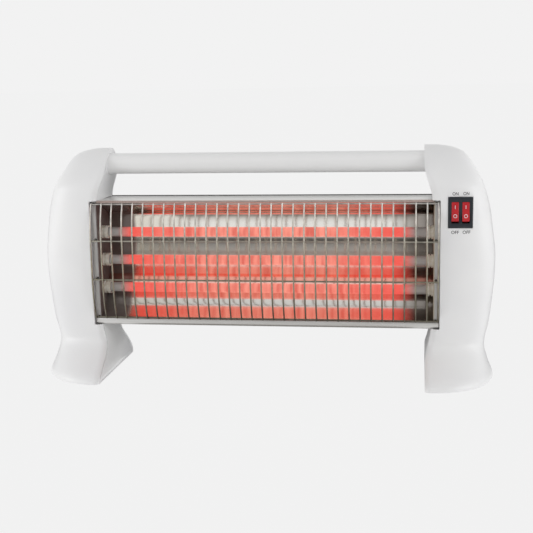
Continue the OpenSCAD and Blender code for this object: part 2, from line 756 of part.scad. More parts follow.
module cord_gland() color("black") {
    translate([gland_x, post_back, gland_z]) rotate([-90, 0, 0]) difference() {
        union() {
            translate([0, 0, -10]) cylinder(h = 10, d = gland_bore + 3.6);
            cylinder(h = 2.5, d = gland_bore + 9);
            translate([0, 0, 2.4]) cylinder(h = 6, d1 = gland_bore + 5, d2 = gland_bore + 3);
        }
        translate([0, 0, -11]) cylinder(h = 22, d = gland_bore);
    }
}

// ---- Tip-over switch in the right foot ----

module tip_switch_body() color("#303030") difference() {
    translate([tip_x - tip_size[0] / 2, tip_y - tip_size[1] / 2, tip_z]) cube(tip_size);
    translate([tip_x, tip_y, tip_z + 2]) cylinder(h = tip_size[2] - 4, d = plunger_dia + 3.4);
    translate([tip_x, tip_y, tip_z - 1]) cylinder(h = 4, d = plunger_dia + 2 * slip);
}

module tip_plunger() color("gray") translate([tip_x, tip_y, 0]) {
    cylinder(h = collar_z + 0.1, d = plunger_dia);
    translate([0, 0, collar_z]) cylinder(h = 1.6, d = plunger_dia + 2.6);
}

module tip_spring() color("silver") {
    low = collar_z + 1.65;
    high = tip_z + tip_size[2] - 2.05;
    translate([tip_x, tip_y, low]) difference() {
        cylinder(h = high - low, d = plunger_dia + 1.8);
        translate([0, 0, -1]) cylinder(h = high - low + 2, d = plunger_dia);
    }
}

left_outer_shell();
right_outer_shell();
left_inner_cover();
right_inner_cover();
left_foot_pads();
right_foot_pads();
left_leg_screws();
right_leg_screws();
handle_tube();
handle_end_plugs();
handle_screws();
back_housing();
reflector();
left_end_plate();
right_end_plate();
wire_guard();
quartz_tube(1);  // quartz_tube_top
quartz_tube(0);  // quartz_tube_middle
quartz_tube(-1);  // quartz_tube_bottom
heating_coil(1);  // heating_coil_top
heating_coil(0);  // heating_coil_middle
heating_coil(-1);  // heating_coil_bottom
left_cap(1);  // left_cap_top
left_cap(0);  // left_cap_middle
left_cap(-1);  // left_cap_bottom
right_cap(1);  // right_cap_top
right_cap(0);  // right_cap_middle
right_cap(-1);  // right_cap_bottom
left_terminal_pins();
right_terminal_pins();
left_bus_bar();
switch_body();
rocker_left();
rocker_right();
switch_terminals();
terminal_block();
lead_wires();
cord_gland();
tip_switch_body();
tip_plunger();
tip_spring();
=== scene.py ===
# %% [markdown]
# # Electric bar heater
# Two moulded legs carry a sheet-metal trough with three quartz tubes behind a wire guard, and a tube
# between the legs is the handle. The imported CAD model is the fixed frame: it says where each part is and
# how big it is. Parts whose CAD shape is right keep it and get a finish here. The others are modelled
# again with their real roundings, bends and turns of wire, on the same places.

# %% Load the frame
import math

import bmesh
import bpy
from mathutils import Matrix, Vector


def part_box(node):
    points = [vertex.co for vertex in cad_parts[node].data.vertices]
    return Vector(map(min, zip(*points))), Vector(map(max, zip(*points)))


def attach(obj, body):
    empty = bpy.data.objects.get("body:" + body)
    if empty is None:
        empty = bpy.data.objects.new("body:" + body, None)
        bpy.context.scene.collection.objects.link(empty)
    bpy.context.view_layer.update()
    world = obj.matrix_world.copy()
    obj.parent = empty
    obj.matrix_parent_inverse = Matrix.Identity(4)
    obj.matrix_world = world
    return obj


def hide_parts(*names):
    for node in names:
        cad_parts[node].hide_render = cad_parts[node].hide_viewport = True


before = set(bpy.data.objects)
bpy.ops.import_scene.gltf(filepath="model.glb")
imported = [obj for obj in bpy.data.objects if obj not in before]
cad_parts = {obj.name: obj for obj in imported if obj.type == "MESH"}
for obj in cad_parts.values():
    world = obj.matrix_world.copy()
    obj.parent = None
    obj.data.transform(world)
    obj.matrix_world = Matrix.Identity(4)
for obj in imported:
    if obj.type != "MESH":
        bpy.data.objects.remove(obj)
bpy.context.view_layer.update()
mm = 0.001
QUARTER_TURN = math.pi / 2
SIDES = {"left": -1, "right": 1}


def span(node):
    """Lowest and highest corner of a CAD node, in millimetres."""
    low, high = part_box(node)
    return low / mm, high / mm


def centre(node):
    """Middle of a CAD node's box, in millimetres."""
    low, high = span(node)
    return (low + high) / 2


# %% [markdown]
# ## Camera, floor and light
# The camera stands where the straight edges of the housing, the handle and the feet put it: a little above
# the heater, to its right, turned back towards it. The floor and the air are the same pale grey, as in a
# studio, and the light comes from large soft sources so that the white plastic has slow shades only.

# %% Helpers for materials


def linear(colour):
    """An sRGB hex colour as the linear RGBA values that shaders use."""
    parts = [int(colour[k:k + 2], 16) / 255 for k in (1, 3, 5)]
    return [p / 12.92 if p <= 0.04045 else ((p + 0.055) / 1.055) ** 2.4 for p in parts] + [1.0]


def add(shader, kind, inputs=None, **settings):
    """Adds a node to the tree of a shader. An input given as a socket is linked, any other value is set."""
    tree = shader.id_data
    made = tree.nodes.new(kind)
    for name, value in settings.items():
        setattr(made, name, value)
    for name, value in (inputs or {}).items():
        if isinstance(value, bpy.types.NodeSocket):
            tree.links.new(value, made.inputs[name])
        else:
            made.inputs[name].default_value = value
    return made


# Colour sockets of a Mix node, which shares their names with its other sockets
SHARE, FIRST, SECOND, MIXED = 0, 6, 7, 2


def finish(name, colour, roughness, sockets):
    """Starts a material: returns it with its Principled shader, which has these values set."""
    material = bpy.data.materials.new(name)
    material.use_nodes = True
    shader = material.node_tree.nodes["Principled BSDF"]
    for socket, value in {"Base Color": linear(colour), "Roughness": roughness, **sockets}.items():
        shader.inputs[socket].default_value = value
    print("material:", name)
    return material, shader


def link(output, shader, socket):
    shader.id_data.links.new(output, shader.inputs[socket])


def pattern(shader, size, stretch=(1, 1, 1), detail=2.0):
    """Noise whose spots are size millimetres wide, drawn out along an axis where stretch is below 1."""
    place = add(shader, "ShaderNodeTexCoord")
    mapping = add(shader, "ShaderNodeMapping", {"Vector": place.outputs["Object"], "Scale": stretch})
    noise = add(shader, "ShaderNodeTexNoise",
                {"Vector": mapping.outputs["Vector"], "Scale": 1 / (size * mm), "Detail": detail})
    return noise.outputs["Fac"]


def between(shader, axis, low, high, start=0.0, end=1.0, mirrored=False):
    """Goes from start to end between two places in mm on an axis, and back on its other side if mirrored."""
    place = add(shader, "ShaderNodeTexCoord")
    axes = add(shader, "ShaderNodeSeparateXYZ", {"Vector": place.outputs["Object"]})
    value = axes.outputs[axis]
    if mirrored:
        value = add(shader, "ShaderNodeMath", {0: value}, operation="ABSOLUTE").outputs[0]
    limits = {"Value": value, "From Min": low * mm, "From Max": high * mm, "To Min": start, "To Max": end}
    return add(shader, "ShaderNodeMapRange", limits).outputs["Result"]


def banded(shader, value, stops):
    """Colours a value by stops, which are positions from 0 to 1 with their hex colours."""
    ramp = add(shader, "ShaderNodeValToRGB", {"Fac": value})
    for _ in stops[2:]:
        ramp.color_ramp.elements.new(0.5)
    for element, (position, colour) in zip(ramp.color_ramp.elements, stops):
        element.position = position
        element.color = linear(colour)
    return ramp.outputs["Color"]


def two_tone(shader, noise, dark, light):
    """Colours a noise between two hex colours. Most of a noise lies near its middle, so the ends are cut."""
    return banded(shader, noise, ((0.35, dark), (0.65, light)))


def mottle(shader, size, dark, light, stretch=(1, 1, 1)):
    """Colours a material between two hex colours, in spots of a size in millimetres."""
    tone = two_tone(shader, pattern(shader, size, stretch), dark, light)
    link(tone, shader, "Base Color")


def relief(shader, size, depth, stretch=(1, 1, 1), detail=2.0):
    """Bumps of a size and a depth in millimetres."""
    noise = pattern(shader, size, stretch, detail)
    bump = add(shader, "ShaderNodeBump", {"Height": noise, "Distance": depth * mm})
    link(bump.outputs["Normal"], shader, "Normal")


# %% Camera
# place, turns and focal length that lay the model's straight edges on those of the photograph
CAMERA_AT = Vector((155.84, -1021.75, 300.23)) * mm
CAMERA_YAW = math.radians(8.6006)
CAMERA_PITCH = math.radians(10.3998)
CAMERA_ROLL = math.radians(-1.1953)
FOCAL_PX = 1028.82
PHOTO_PX = 533
SENSOR = 36.0

bpy.ops.object.camera_add(location=CAMERA_AT)
camera = bpy.context.object
turn = Matrix.Rotation(CAMERA_YAW, 3, "Z") @ Matrix.Rotation(QUARTER_TURN - CAMERA_PITCH, 3, "X")
camera.rotation_euler = (turn @ Matrix.Rotation(CAMERA_ROLL, 3, "Z")).to_euler()
camera.data.sensor_width = SENSOR
camera.data.lens = FOCAL_PX / PHOTO_PX * SENSOR
bpy.context.scene.camera = camera
bpy.context.scene.view_settings.view_transform = "Standard"
print("lens in mm:", round(camera.data.lens, 2))

# %% Floor and air
PALE = "#F2F2F2"
FLOOR_SIZE = 60.0

bpy.ops.mesh.primitive_plane_add(size=FLOOR_SIZE)
floor = bpy.context.object
floor.name = "floor"
floor_paint, _ = finish("pale studio floor", "#0C0C0C", 0.9, {
    "Specular IOR Level": 0.0, "Emission Color": linear(PALE), "Emission Strength": 0.99})
floor.data.materials.append(floor_paint)

air = bpy.data.worlds.new("pale studio air")
air.use_nodes = True
backdrop = air.node_tree.nodes["Background"]
backdrop.inputs["Color"].default_value = linear(PALE)
backdrop.inputs["Strength"].default_value = 1.0
bpy.context.scene.world = air
print("floor and air:", PALE)

# %% Soft lights
LIGHT_X, LIGHT_Y, LIGHT_Z = 1.3, -0.6, 0.35
LIGHT_SIZE = 0.8
LIGHT_W = 5
HEATER_MIDDLE = Vector((0, 0, 0.12))

for word, side in SIDES.items():
    place = Vector((side * LIGHT_X, LIGHT_Y, LIGHT_Z))
    bpy.ops.object.light_add(type="AREA", location=place)
    lamp = bpy.context.object
    lamp.name = f"{word}_light"
    lamp.data.size = LIGHT_SIZE
    lamp.data.energy = LIGHT_W
    lamp.rotation_euler = (HEATER_MIDDLE - place).to_track_quat("-Z", "Y").to_euler()
    print(lamp.name, "of", LIGHT_W, "W, aimed at the middle of the heater")

# %% [markdown]
# ## Cards around the heater
# What a polished trough looks like depends on what it mirrors: a dark room in front, a pale floor that is
# shaded close to the heater, and a ceiling that is duller than the walls. Two dark cards low behind the
# heater stand for the shade there. Planes that only mirrors see do this without a room round the heater.

# %% Make the cards


def studio_card(name, stops, axis, low, high, middle, size, turn=0.0):
    """A flat card that only mirrors and light see, in millimetres, turned up about X. It glows by stops."""
    bpy.ops.mesh.primitive_plane_add(size=1)
    card = bpy.context.object
    card.name = name
    card.matrix_world = (Matrix.Translation(Vector(middle) * mm) @ Matrix.Rotation(turn, 4, "X")
                         @ Matrix.Diagonal((size[0] * mm, size[1] * mm, 1, 1)))
    bpy.ops.object.transform_apply(location=True, rotation=True, scale=True)
    cloth, shader = finish(name.replace("_", " ") + " cloth", "#000000", 1.0, {
        "Specular IOR Level": 0.0, "Emission Strength": 1.0})
    link(banded(shader, between(shader, axis, low, high), stops), shader, "Emission Color")
    card.data.materials.append(cloth)
    card.visible_camera = False
    card.visible_shadow = False
    return card


DARK_SIDE = [(0.0, "#C8C6C4"), (0.05, "#8E8B88"), (0.12, "#514F4D"), (0.2, "#565452"), (0.32, "#868381"),
             (0.48, "#9C9997"), (0.65, "#AFACA9"), (0.85, "#C8C6C3"), (1.0, "#E2E1E0")]
FLOOR_SHADE = [(0.0, "#F2F2F2"), (0.25, "#D6D4D2"), (0.5, "#A8A5A2"), (1.0, "#8A8784")]
CEILING = [(0.0, "#D8D8D8"), (1.0, "#B8B8B8")]
BEHIND = [(0.0, "#303030"), (1.0, "#303030")]
studio_card("dark_side", DARK_SIDE, "Z", 0, 560, (100, -620, 280), (880, 560), QUARTER_TURN)
studio_card("behind", BEHIND, "Z", 0, 200, (0, 200, 100), (1100, 200), QUARTER_TURN)
floor_behind = studio_card("floor_behind", BEHIND, "Y", 0, 400, (0, 190, 1), (1100, 300))
floor_behind.visible_diffuse = False
studio_card("floor_shade", FLOOR_SHADE, "Y", -200, -60, (0, -100, 1), (300, 200))
studio_card("ceiling", CEILING, "Y", -1000, 1000, (0, 0, 1300), (2400, 2400))

# %% [markdown]
# ## How the pieces are made
# Every new piece starts as a primitive at its own size and place. Edit-mode operators and modifiers shape
# it, and the modifiers are applied. Its object then sits at the origin with its place in its mesh, as the
# CAD nodes do. Nothing may stay selected from before, because an operator acts on all that is selected.

# %% Helpers for pieces


def only(piece):
    """Makes a piece the one that operators act on."""
    if bpy.context.mode != "OBJECT":
        bpy.ops.object.mode_set(mode="OBJECT")
    bpy.ops.object.select_all(action="DESELECT")
    piece.select_set(True)
    bpy.context.view_layer.objects.active = piece


def settle(piece):
    """Puts a piece's place, turn and size into its mesh."""
    only(piece)
    bpy.ops.object.transform_apply(location=True, rotation=True, scale=True)


def edit(piece, kind, test):
    """Opens a piece in edit mode with just the parts selected that pass the test: VERT, EDGE or FACE."""
    only(piece)
    bpy.ops.object.mode_set(mode="EDIT")
    bpy.ops.mesh.select_mode(type=kind)
    bpy.ops.mesh.select_all(action="DESELECT")
    mesh = bmesh.from_edit_mesh(piece.data)
    for part in {"VERT": mesh.verts, "EDGE": mesh.edges, "FACE": mesh.faces}[kind]:
        if test(part):
            part.select_set(True)
    bmesh.update_edit_mesh(piece.data)


def runs_along(axis):
    """A test for edit that picks the edges along an axis, given as 0, 1 or 2."""
    return lambda e: abs(e.verts[0].co[axis] - e.verts[1].co[axis]) > mm


def close_edit():
    bpy.ops.object.mode_set(mode="OBJECT")


def close_outwards():
    """Turns all faces of the piece in edit mode outwards and closes it."""
    bpy.ops.mesh.select_all(action="SELECT")
    bpy.ops.mesh.normals_make_consistent(inside=False)
    close_edit()


def modify(piece, kind, **settings):
    """Adds a modifier with its settings and applies it."""
    modifier = piece.modifiers.new(kind.lower(), kind)
    for name, value in settings.items():
        setattr(modifier, name, value)
    only(piece)
    bpy.ops.object.modifier_apply(modifier=modifier.name)


def shape(piece, rule):
    """Moves each vertex, in millimetres, to where a rule puts it."""
    for vertex in piece.data.vertices:
        vertex.co = Vector(rule(vertex.co / mm)) * mm


def block(low, high):
    """A box between two corners in millimetres."""
    low, high = Vector(low), Vector(high)
    bpy.ops.mesh.primitive_cube_add(size=1, location=(low + high) / 2 * mm)
    piece = bpy.context.object
    piece.scale = (high - low) * mm
    settle(piece)
    return piece


def round_bar(start, axis, length, radius, sides=48):
    """A cylinder in millimetres that starts at a point and runs along +X, +Y or +Z."""
    along = Vector({"X": (1, 0, 0), "Y": (0, 1, 0), "Z": (0, 0, 1)}[axis])
    turn = along.to_track_quat("Z", "Y").to_euler()
    middle = (Vector(start) + along * length / 2) * mm
    bpy.ops.mesh.primitive_cylinder_add(vertices=sides, radius=radius * mm, depth=length * mm,
                                        location=middle, rotation=turn)
    piece = bpy.context.object
    settle(piece)
    return piece


def combine(piece, tool, operation):
    """Joins a tool's solid to a piece (UNION) or cuts it out (DIFFERENCE), and removes the tool."""
    modify(piece, "BOOLEAN", object=tool, operation=operation, solver="EXACT")
    bpy.data.objects.remove(tool)


def cut(piece, tool):
    combine(piece, tool, "DIFFERENCE")


def soften(piece, radius, segments=3, angle=40):
    """Rounds the edges that are sharper than an angle, with a radius in millimetres."""
    modify(piece, "BEVEL", width=radius * mm, segments=segments, limit_method="ANGLE",
           angle_limit=math.radians(angle), miter_outer="MITER_ARC")


def smooth(piece, angle=35):
    only(piece)
    bpy.ops.object.shade_smooth_by_angle(angle=math.radians(angle))


def weld_into(first, others):
    """Joins several objects into one mesh."""
    only(first)
    for other in others:
        other.select_set(True)
    bpy.ops.object.join()
    return first


def hand_over(piece, name, material, replaced=(), body="heater"):
    """Names a finished piece, gives it its material and ties it to its body."""
    piece.name = piece.data.name = name
    piece.data.materials.clear()
    piece.data.materials.append(material)
    settle(piece)
    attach(piece, body)
    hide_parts(*replaced)
    low, high = [Vector(c) / mm for c in (piece.bound_box[0], piece.bound_box[6])]
    print(f"{name}: {len(piece.data.polygons)} faces, {[round(v, 1) for v in high - low]} mm")


# %% [markdown]
# ## White plastic
# The legs are ABS, injection-moulded in a fine satin mould. That gives a slightly soft gloss, a very fine
# even grain, and slow waves where the thick parts sank as they cooled. The colour is a neutral white.

# %% Material: white ABS
white_abs, shader = finish("white ABS moulded satin", "#E8E8E8", 0.42, {
    "IOR": 1.53, "Coat Weight": 0.15, "Coat Roughness": 0.25})
mottle(shader, 60, "#E6E6E7", "#EBEBEB")
relief(shader, 0.6, 0.006, detail=1.0)

# %% [markdown]
# ## The form of a leg
# A leg is a loft: at each height its outline is half of a rounded square, which starts at the inner face,
# runs round the outer side and comes back. Width, front and back follow curves over the height: a flared
# foot, an ankle, a bulging post and a rounded crown. A grid is the best start, because a formula can put
# each of its rows at one height, and the rows and columns then run where the housing's notch is cut.

# %% Sizes of a leg
leg_low, leg_high = span("right_outer_shell")
trough_low, trough_high = span("back_housing")
INNER_X = leg_low.x
LEG_H = leg_high.z
FOOT_FRONT = -66.4
FOOT_BACK = 67.75
HEEL, HEEL_TUCK = 6, 0.7
FLARE_H = 40
CROWN_Z = LEG_H - 40
CROWN_RISE = 40.3
POST_FRONT = trough_low.y - 5
POST_BACK = POST_FRONT + 62
CROWN_Y = (POST_FRONT + POST_BACK) / 2 + 6
FRONT_ARC, BACK_ARC = 1.5, 2
WAIST = 8
WAIST_START, WAIST_RISE = 10, 50
WAIST_END, WAIST_FALL = 17, 35
FOOT_SQUARE, SQUARE_RISE = 2.2, 70
SHELL_WALL = 2.4
COVER_GAP = 0.06
EDGE_FALL = 3
EDGE_W = 6
FOOT_IN = 1.5
POST_W, FOOT_W, ANKLE_W = 70, 69.3, 60.5
# heights with the leg's width there
OUTER_ROWS = [
    (0, FOOT_W - 2.8), (4, FOOT_W), (15, FOOT_W - 4.3), (34, ANKLE_W), (60, ANKLE_W + 4.5),
    (LEG_H - 114, POST_W), (LEG_H - 72, POST_W - 4.2), (LEG_H - 52, POST_W - 8),
    (LEG_H - 32, POST_W - 15), (LEG_H - 20, POST_W - 22), (LEG_H - 12, POST_W - 27),
    (LEG_H - 6, POST_W - 33.5), (LEG_H - 2, POST_W - 44), (LEG_H, POST_W - 56)]
NOTCH_GAP = 0.4
NOTCH_X = trough_high.x + NOTCH_GAP
NOTCH_LOW = trough_low.z - NOTCH_GAP
NOTCH_HIGH = trough_high.z + NOTCH_GAP
print("leg", round(LEG_H, 1), "mm high, notch from", round(NOTCH_LOW, 1), "to", round(NOTCH_HIGH, 1))

# %% Curves of a leg


def clip(t):
    return min(max(t, 0.0), 1.0)


def ease(t):
    return clip(t) ** 2 * (3 - 2 * clip(t))


def super_arc(t, power):
    return max(0.0, 1 - t ** power) ** (1 / power)


def crown(z):
    """How far a height is up the crown, from 0 to 1."""
    return clip((z - CROWN_Z) / CROWN_RISE)


def outer_x(z):
    """Outer side of a leg: a smooth curve through the rows."""
    rows = OUTER_ROWS
    i = max(k for k in range(len(rows) - 1) if z >= rows[k][0] or k == 0)

    def slope(k):
        a, b = rows[max(0, k - 1)], rows[min(len(rows) - 1, k + 1)]
        return (b[1] - a[1]) / (b[0] - a[0])

    width = rows[i + 1][0] - rows[i][0]
    t = clip((z - rows[i][0]) / width)
    curve = width * t * (1 - t) * ((1 - t) * slope(i) - t * slope(i + 1))
    return INNER_X + rows[i][1] + (rows[i + 1][1] - rows[i][1]) * ease(t) + curve


def face_x(z):
    """Inner face of a leg, waisted beside the housing."""
    rise, fall = ease((z - WAIST_START) / WAIST_RISE), ease((LEG_H - WAIST_END - z) / WAIST_FALL)
    return INNER_X + min(max(FOOT_IN, WAIST * rise), WAIST * fall)


def front_y(z):
    if z > CROWN_Z:
        return CROWN_Y - (CROWN_Y - POST_FRONT) * super_arc(crown(z), FRONT_ARC)
    return FOOT_FRONT + (POST_FRONT - FOOT_FRONT) * ease(z / FLARE_H)


def back_y(z):
    if z > CROWN_Z:
        return CROWN_Y + (POST_BACK - CROWN_Y) * super_arc(crown(z), BACK_ARC)
    tuck = HEEL_TUCK * HEEL * max(0.0, 1 - z / HEEL) ** 2
    return FOOT_BACK - tuck + (POST_BACK - FOOT_BACK) * ease(z / FLARE_H)


def depth(z):
    """Middle and half of a leg's depth at a height."""
    return (front_y(z) + back_y(z)) / 2, (back_y(z) - front_y(z)) / 2


def squareness(z):
    """Power of the outline's curve: 2 is an ellipse, and the post is one higher than the foot."""
    return FOOT_SQUARE + ease(z / SQUARE_RISE) * (1 - ease(crown(z)))


def edge_drop(x, z):
    """How far the front and the back fall away at a distance x from the inner face."""
    return EDGE_FALL * max(0.0, 1 - x / EDGE_W) ** 2 * (1 - ease(crown(z)))


def skin_y(x, z):
    """Depth of the leg's front surface at a point, for what is laid on it."""
    near, far = face_x(z), outer_x(z)
    middle, half = depth(z)
    return middle - half * super_arc(clip((x - near) / (far - near)), squareness(z))


# %% Rows and columns of the grid
EDGE_COLS = 12
SIDE_COLS = 48
ALL_COLS = 2 * EDGE_COLS + SIDE_COLS
CROWN_ROWS = 22
# share of the outline that the edge columns may take on the crown, and steps along half an outline
CROWN_EDGE = 0.3
HALF_STEPS = 180


def heights():
    """Heights of the grid's rows, with one at each edge of the notch."""
    steps = [(leg_low.z, FLARE_H, 16), (FLARE_H, NOTCH_LOW, 5), (NOTCH_LOW, NOTCH_HIGH, 30),
             (NOTCH_HIGH, CROWN_Z, 4)]
    rows = [low + (high - low) * k / n for low, high, n in steps for k in range(n)]
    return rows + [CROWN_Z + (LEG_H - CROWN_Z) * math.sin(QUARTER_TURN * k / CROWN_ROWS)
                   for k in range(CROWN_ROWS + 1)]


def outline(z):
    """The outline at one height as points at even steps, with one column on the notch's edge."""
    near, width = face_x(z), outer_x(z) - face_x(z)
    middle, half = depth(z)
    power = 2 / squareness(z)
    fine = []
    for k in range(2 * HALF_STEPS + 1):
        u = k / HALF_STEPS - 1
        t = math.copysign(QUARTER_TURN * (1 - (1 - abs(u)) ** 2), u)
        x = width * max(0.0, math.cos(t)) ** power
        y = math.copysign(abs(math.sin(t)) ** power, t)
        fine.append((near + x, middle + (half - edge_drop(x, z)) * y))
    lengths = [0.0]
    for a, b in zip(fine, fine[1:]):
        lengths.append(lengths[-1] + math.dist(a, b))
    edge = next((s for p, s in zip(fine, lengths) if p[0] >= NOTCH_X), lengths[-1])
    before = max(k for k, s in enumerate(lengths) if s < edge)
    share = (NOTCH_X - fine[before][0]) / (fine[before + 1][0] - fine[before][0])
    edge = lengths[before] + share * (lengths[before + 1] - lengths[before])
    edge = min(edge, CROWN_EDGE * lengths[-1]) if z > CROWN_Z else edge
    rest = lengths[-1] - 2 * edge
    stops = [edge * k / EDGE_COLS for k in range(EDGE_COLS)]
    stops += [edge + rest * k / SIDE_COLS for k in range(SIDE_COLS)]
    stops += [edge + rest + edge * k / EDGE_COLS for k in range(EDGE_COLS + 1)]
    points, k = [], 0
    for stop in stops:
        while k < len(fine) - 2 and lengths[k + 1] < stop:
            k += 1
        t = (stop - lengths[k]) / max(lengths[k + 1] - lengths[k], 1e-9)
        points.append([a + (b - a) * t for a, b in zip(fine[k], fine[k + 1])])
    return points


LEG_ZS = heights()
LEG_OUTLINES = [outline(z) for z in LEG_ZS]
print("grid of a leg:", len(LEG_ZS), "rows by", ALL_COLS + 1, "columns")

# %% [markdown]
# ## Outer shells of the legs
# The shell is one sheet with a wall. The grid is laid on the form, the sole and the crown are filled, and
# the faces in front of the housing are deleted. Then the sheet gets its wall inwards. The outer edges get
# the large rounding that is seen all round the inner face, and the inner edges only a trace, so the seam to
# the inner cover stays thin. What sits in the right shell is cut last.

# %% Model a shell
EDGE_ROUND = 0.8
SHARP_ANGLE = 50
# shares of the rounding for edges inside the wall and round the sole
INNER_SHARE, SOLE_SHARE = 0.1, 0.5


def leg_sheet(side):
    """The outer skin of one leg, open towards the middle. side is 1 for the right leg and -1 for the left."""
    rows, cols = len(LEG_ZS) - 1, ALL_COLS
    bpy.ops.mesh.primitive_grid_add(x_subdivisions=cols, y_subdivisions=rows, size=2 * mm)
    sheet = bpy.context.object

    def lay(point):
        column, row = round((point.x + 1) / 2 * cols), round((point.y + 1) / 2 * rows)
        x, y = LEG_OUTLINES[row][column]
        return side * x, y, LEG_ZS[row]

    shape(sheet, lay)
    for level in (LEG_ZS[0], LEG_ZS[-1]):
        edit(sheet, "VERT", lambda v: abs(v.co.z / mm - level) < 1e-3)
        bpy.ops.mesh.edge_face_add()

    def in_notch(face):
        x, y, z = face.calc_center_median() / mm
        return INNER_X - 1 < abs(x) < NOTCH_X and NOTCH_LOW < z < NOTCH_HIGH and y < 0

    edit(sheet, "FACE", in_notch)
    bpy.ops.mesh.delete(type="FACE")
    close_outwards()
    return sheet


def leg_shell(side):
    """A sheet with its wall and its rounded edges."""
    shell = leg_sheet(side)
    shell.vertex_groups.new(name="inner wall")
    modify(shell, "SOLIDIFY", thickness=SHELL_WALL * mm, offset=-1, use_even_offset=True,
           shell_vertex_group="inner wall")
    mesh = bmesh.new()
    mesh.from_mesh(shell.data)
    weight = mesh.edges.layers.float.new("bevel_weight_edge")
    groups = mesh.verts.layers.deform.verify()
    for e in mesh.edges:
        if e.is_manifold and e.calc_face_angle() > math.radians(SHARP_ANGLE):
            inner = any(0 in v[groups] for v in e.verts)
            sole = all(v.co.z / mm < leg_low.z + 0.01 for v in e.verts)
            e[weight] = INNER_SHARE if inner else SOLE_SHARE if sole else 1.0
    mesh.to_mesh(shell.data)
    mesh.free()
    modify(shell, "BEVEL", width=EDGE_ROUND * mm, segments=5, limit_method="WEIGHT")
    return shell


# %% Right and left shell
pad_low, pad_high = span("right_foot_pads")
bezel_low, bezel_high = span("switch_body")
PAD_R = (pad_high.x - pad_low.x) / 2
FIT = 0.1
OUTSIDE = 1


def pad_pockets(shell, side):
    """Pockets in the sole for the two rubber pads."""
    x = side * (pad_low.x + PAD_R)
    for y in (pad_low.y + PAD_R, pad_high.y - PAD_R):
        cut(shell, round_bar((x, y, -OUTSIDE), "Z", OUTSIDE + pad_high.z + FIT / 2, PAD_R + FIT))


left_shell = leg_shell(-1)
pad_pockets(left_shell, -1)
smooth(left_shell)
hand_over(left_shell, "left_leg_shell", white_abs, ["left_outer_shell"])

right_shell = leg_shell(1)
pad_pockets(right_shell, 1)

# %% Seat of the switch, cord hole and plunger hole in the right shell
BEZEL_T = 2.0
SEAT_RIM, SEAT_T = 1.0, 3.5
SEAT_GAP = 0.2
HOLE_IN_X, HOLE_IN_Z = 1.05, 1.6
GLAND_HOLE_R, GLAND_HOLE_L = 5.5, 20
PLUNGER_HOLE_R, PLUNGER_HOLE_L = 3, 6
AHEAD = POST_FRONT - 5
BODY_BACK = POST_FRONT + 15
seat_y = bezel_low.y + BEZEL_T


def around_bezel(x, z, front, back):
    """A block from front to back that is wider than the bezel by x and higher by z on each side."""
    return block((bezel_low.x - x, front, bezel_low.z - z), (bezel_high.x + x, back, bezel_high.z + z))


seat = around_bezel(SEAT_RIM, SEAT_RIM, seat_y, seat_y + SEAT_T)
soften(seat, 0.4)
combine(right_shell, seat, "UNION")
cut(right_shell, around_bezel(SEAT_GAP, SEAT_GAP, AHEAD, seat_y))
cut(right_shell, around_bezel(-HOLE_IN_X, -HOLE_IN_Z, AHEAD, BODY_BACK))
gland_mid = centre("cord_gland")
gland_from = (gland_mid.x, POST_BACK - 12, gland_mid.z)
cut(right_shell, round_bar(gland_from, "Y", GLAND_HOLE_L, GLAND_HOLE_R))
plunger_mid = centre("tip_plunger")
plunger_from = (plunger_mid.x, plunger_mid.y, -OUTSIDE)
cut(right_shell, round_bar(plunger_from, "Z", PLUNGER_HOLE_L, PLUNGER_HOLE_R))
smooth(right_shell)
hand_over(right_shell, "right_leg_shell", white_abs, ["right_outer_shell"])

# %% [markdown]
# ## Inner covers of the legs
# A cover closes each leg towards the middle. Its plate follows the waisted inner face, and a box in it
# takes the end of the housing, with holes for the caps and screws. A cube whose upright edges are
# subdivided gives the plate its rows, and the box is joined and hollowed with solid cutters.

# %% Model a cover
cap_low, cap_high = span("right_cap_middle")
handle_low, handle_high = span("handle_tube")
_, TUBE_Y, TUBE_Z = centre("quartz_tube_middle")
_, HANDLE_Y, HANDLE_Z = centre("handle_tube")
TUBE_PITCH = centre("quartz_tube_top").z - TUBE_Z
CAP_R = (cap_high.z - cap_low.z) / 2
HANDLE_R = (handle_high.z - handle_low.z) / 2
SCREW_Y = trough_high.y - 9.5
SCREW_ZS = [trough_low.z + 9.5, trough_high.z - 10.2]
FLOOR_X = NOTCH_X + SHELL_WALL
CAP_GAP = 0.25
SCREW_HOLE_R = 1.6
HOLE_L = 5
HANDLE_SEAT = 1.4
PLUG_HOLE_R, PLUG_HOLE_L = 5.6, 6
FINE_SIDES = 96


def cover_plate():
    """The plate of the right cover, inside the shell's edge."""
    inset = SHELL_WALL + COVER_GAP
    plate = block((-1, -1, -1), (1, 1, 1))
    edit(plate, "EDGE", runs_along(2))
    bpy.ops.mesh.subdivide(number_cuts=len(LEG_ZS) - 2)
    close_edit()
    last = len(LEG_ZS) - 1

    def lay(point):
        z = LEG_ZS[round((point.z + 1) / 2 * last)]
        lean = math.sqrt(1 - crown(z) ** 2)
        slope = (POST_FRONT - FOOT_FRONT) * 6 * clip(z / FLARE_H) * (1 - clip(z / FLARE_H)) / FLARE_H
        wall = inset * (lean if z > CROWN_Z else math.hypot(1, slope))
        height = z - inset * crown(z) + inset * max(0.0, 1 - (z - leg_low.z) / (3 * SHELL_WALL))
        x = face_x(height) + (SHELL_WALL if point.x > 0 else 0)
        wall += edge_drop(0, z)
        return x, front_y(z) + wall if point.y < 0 else back_y(z) - wall, height

    shape(plate, lay)
    return plate


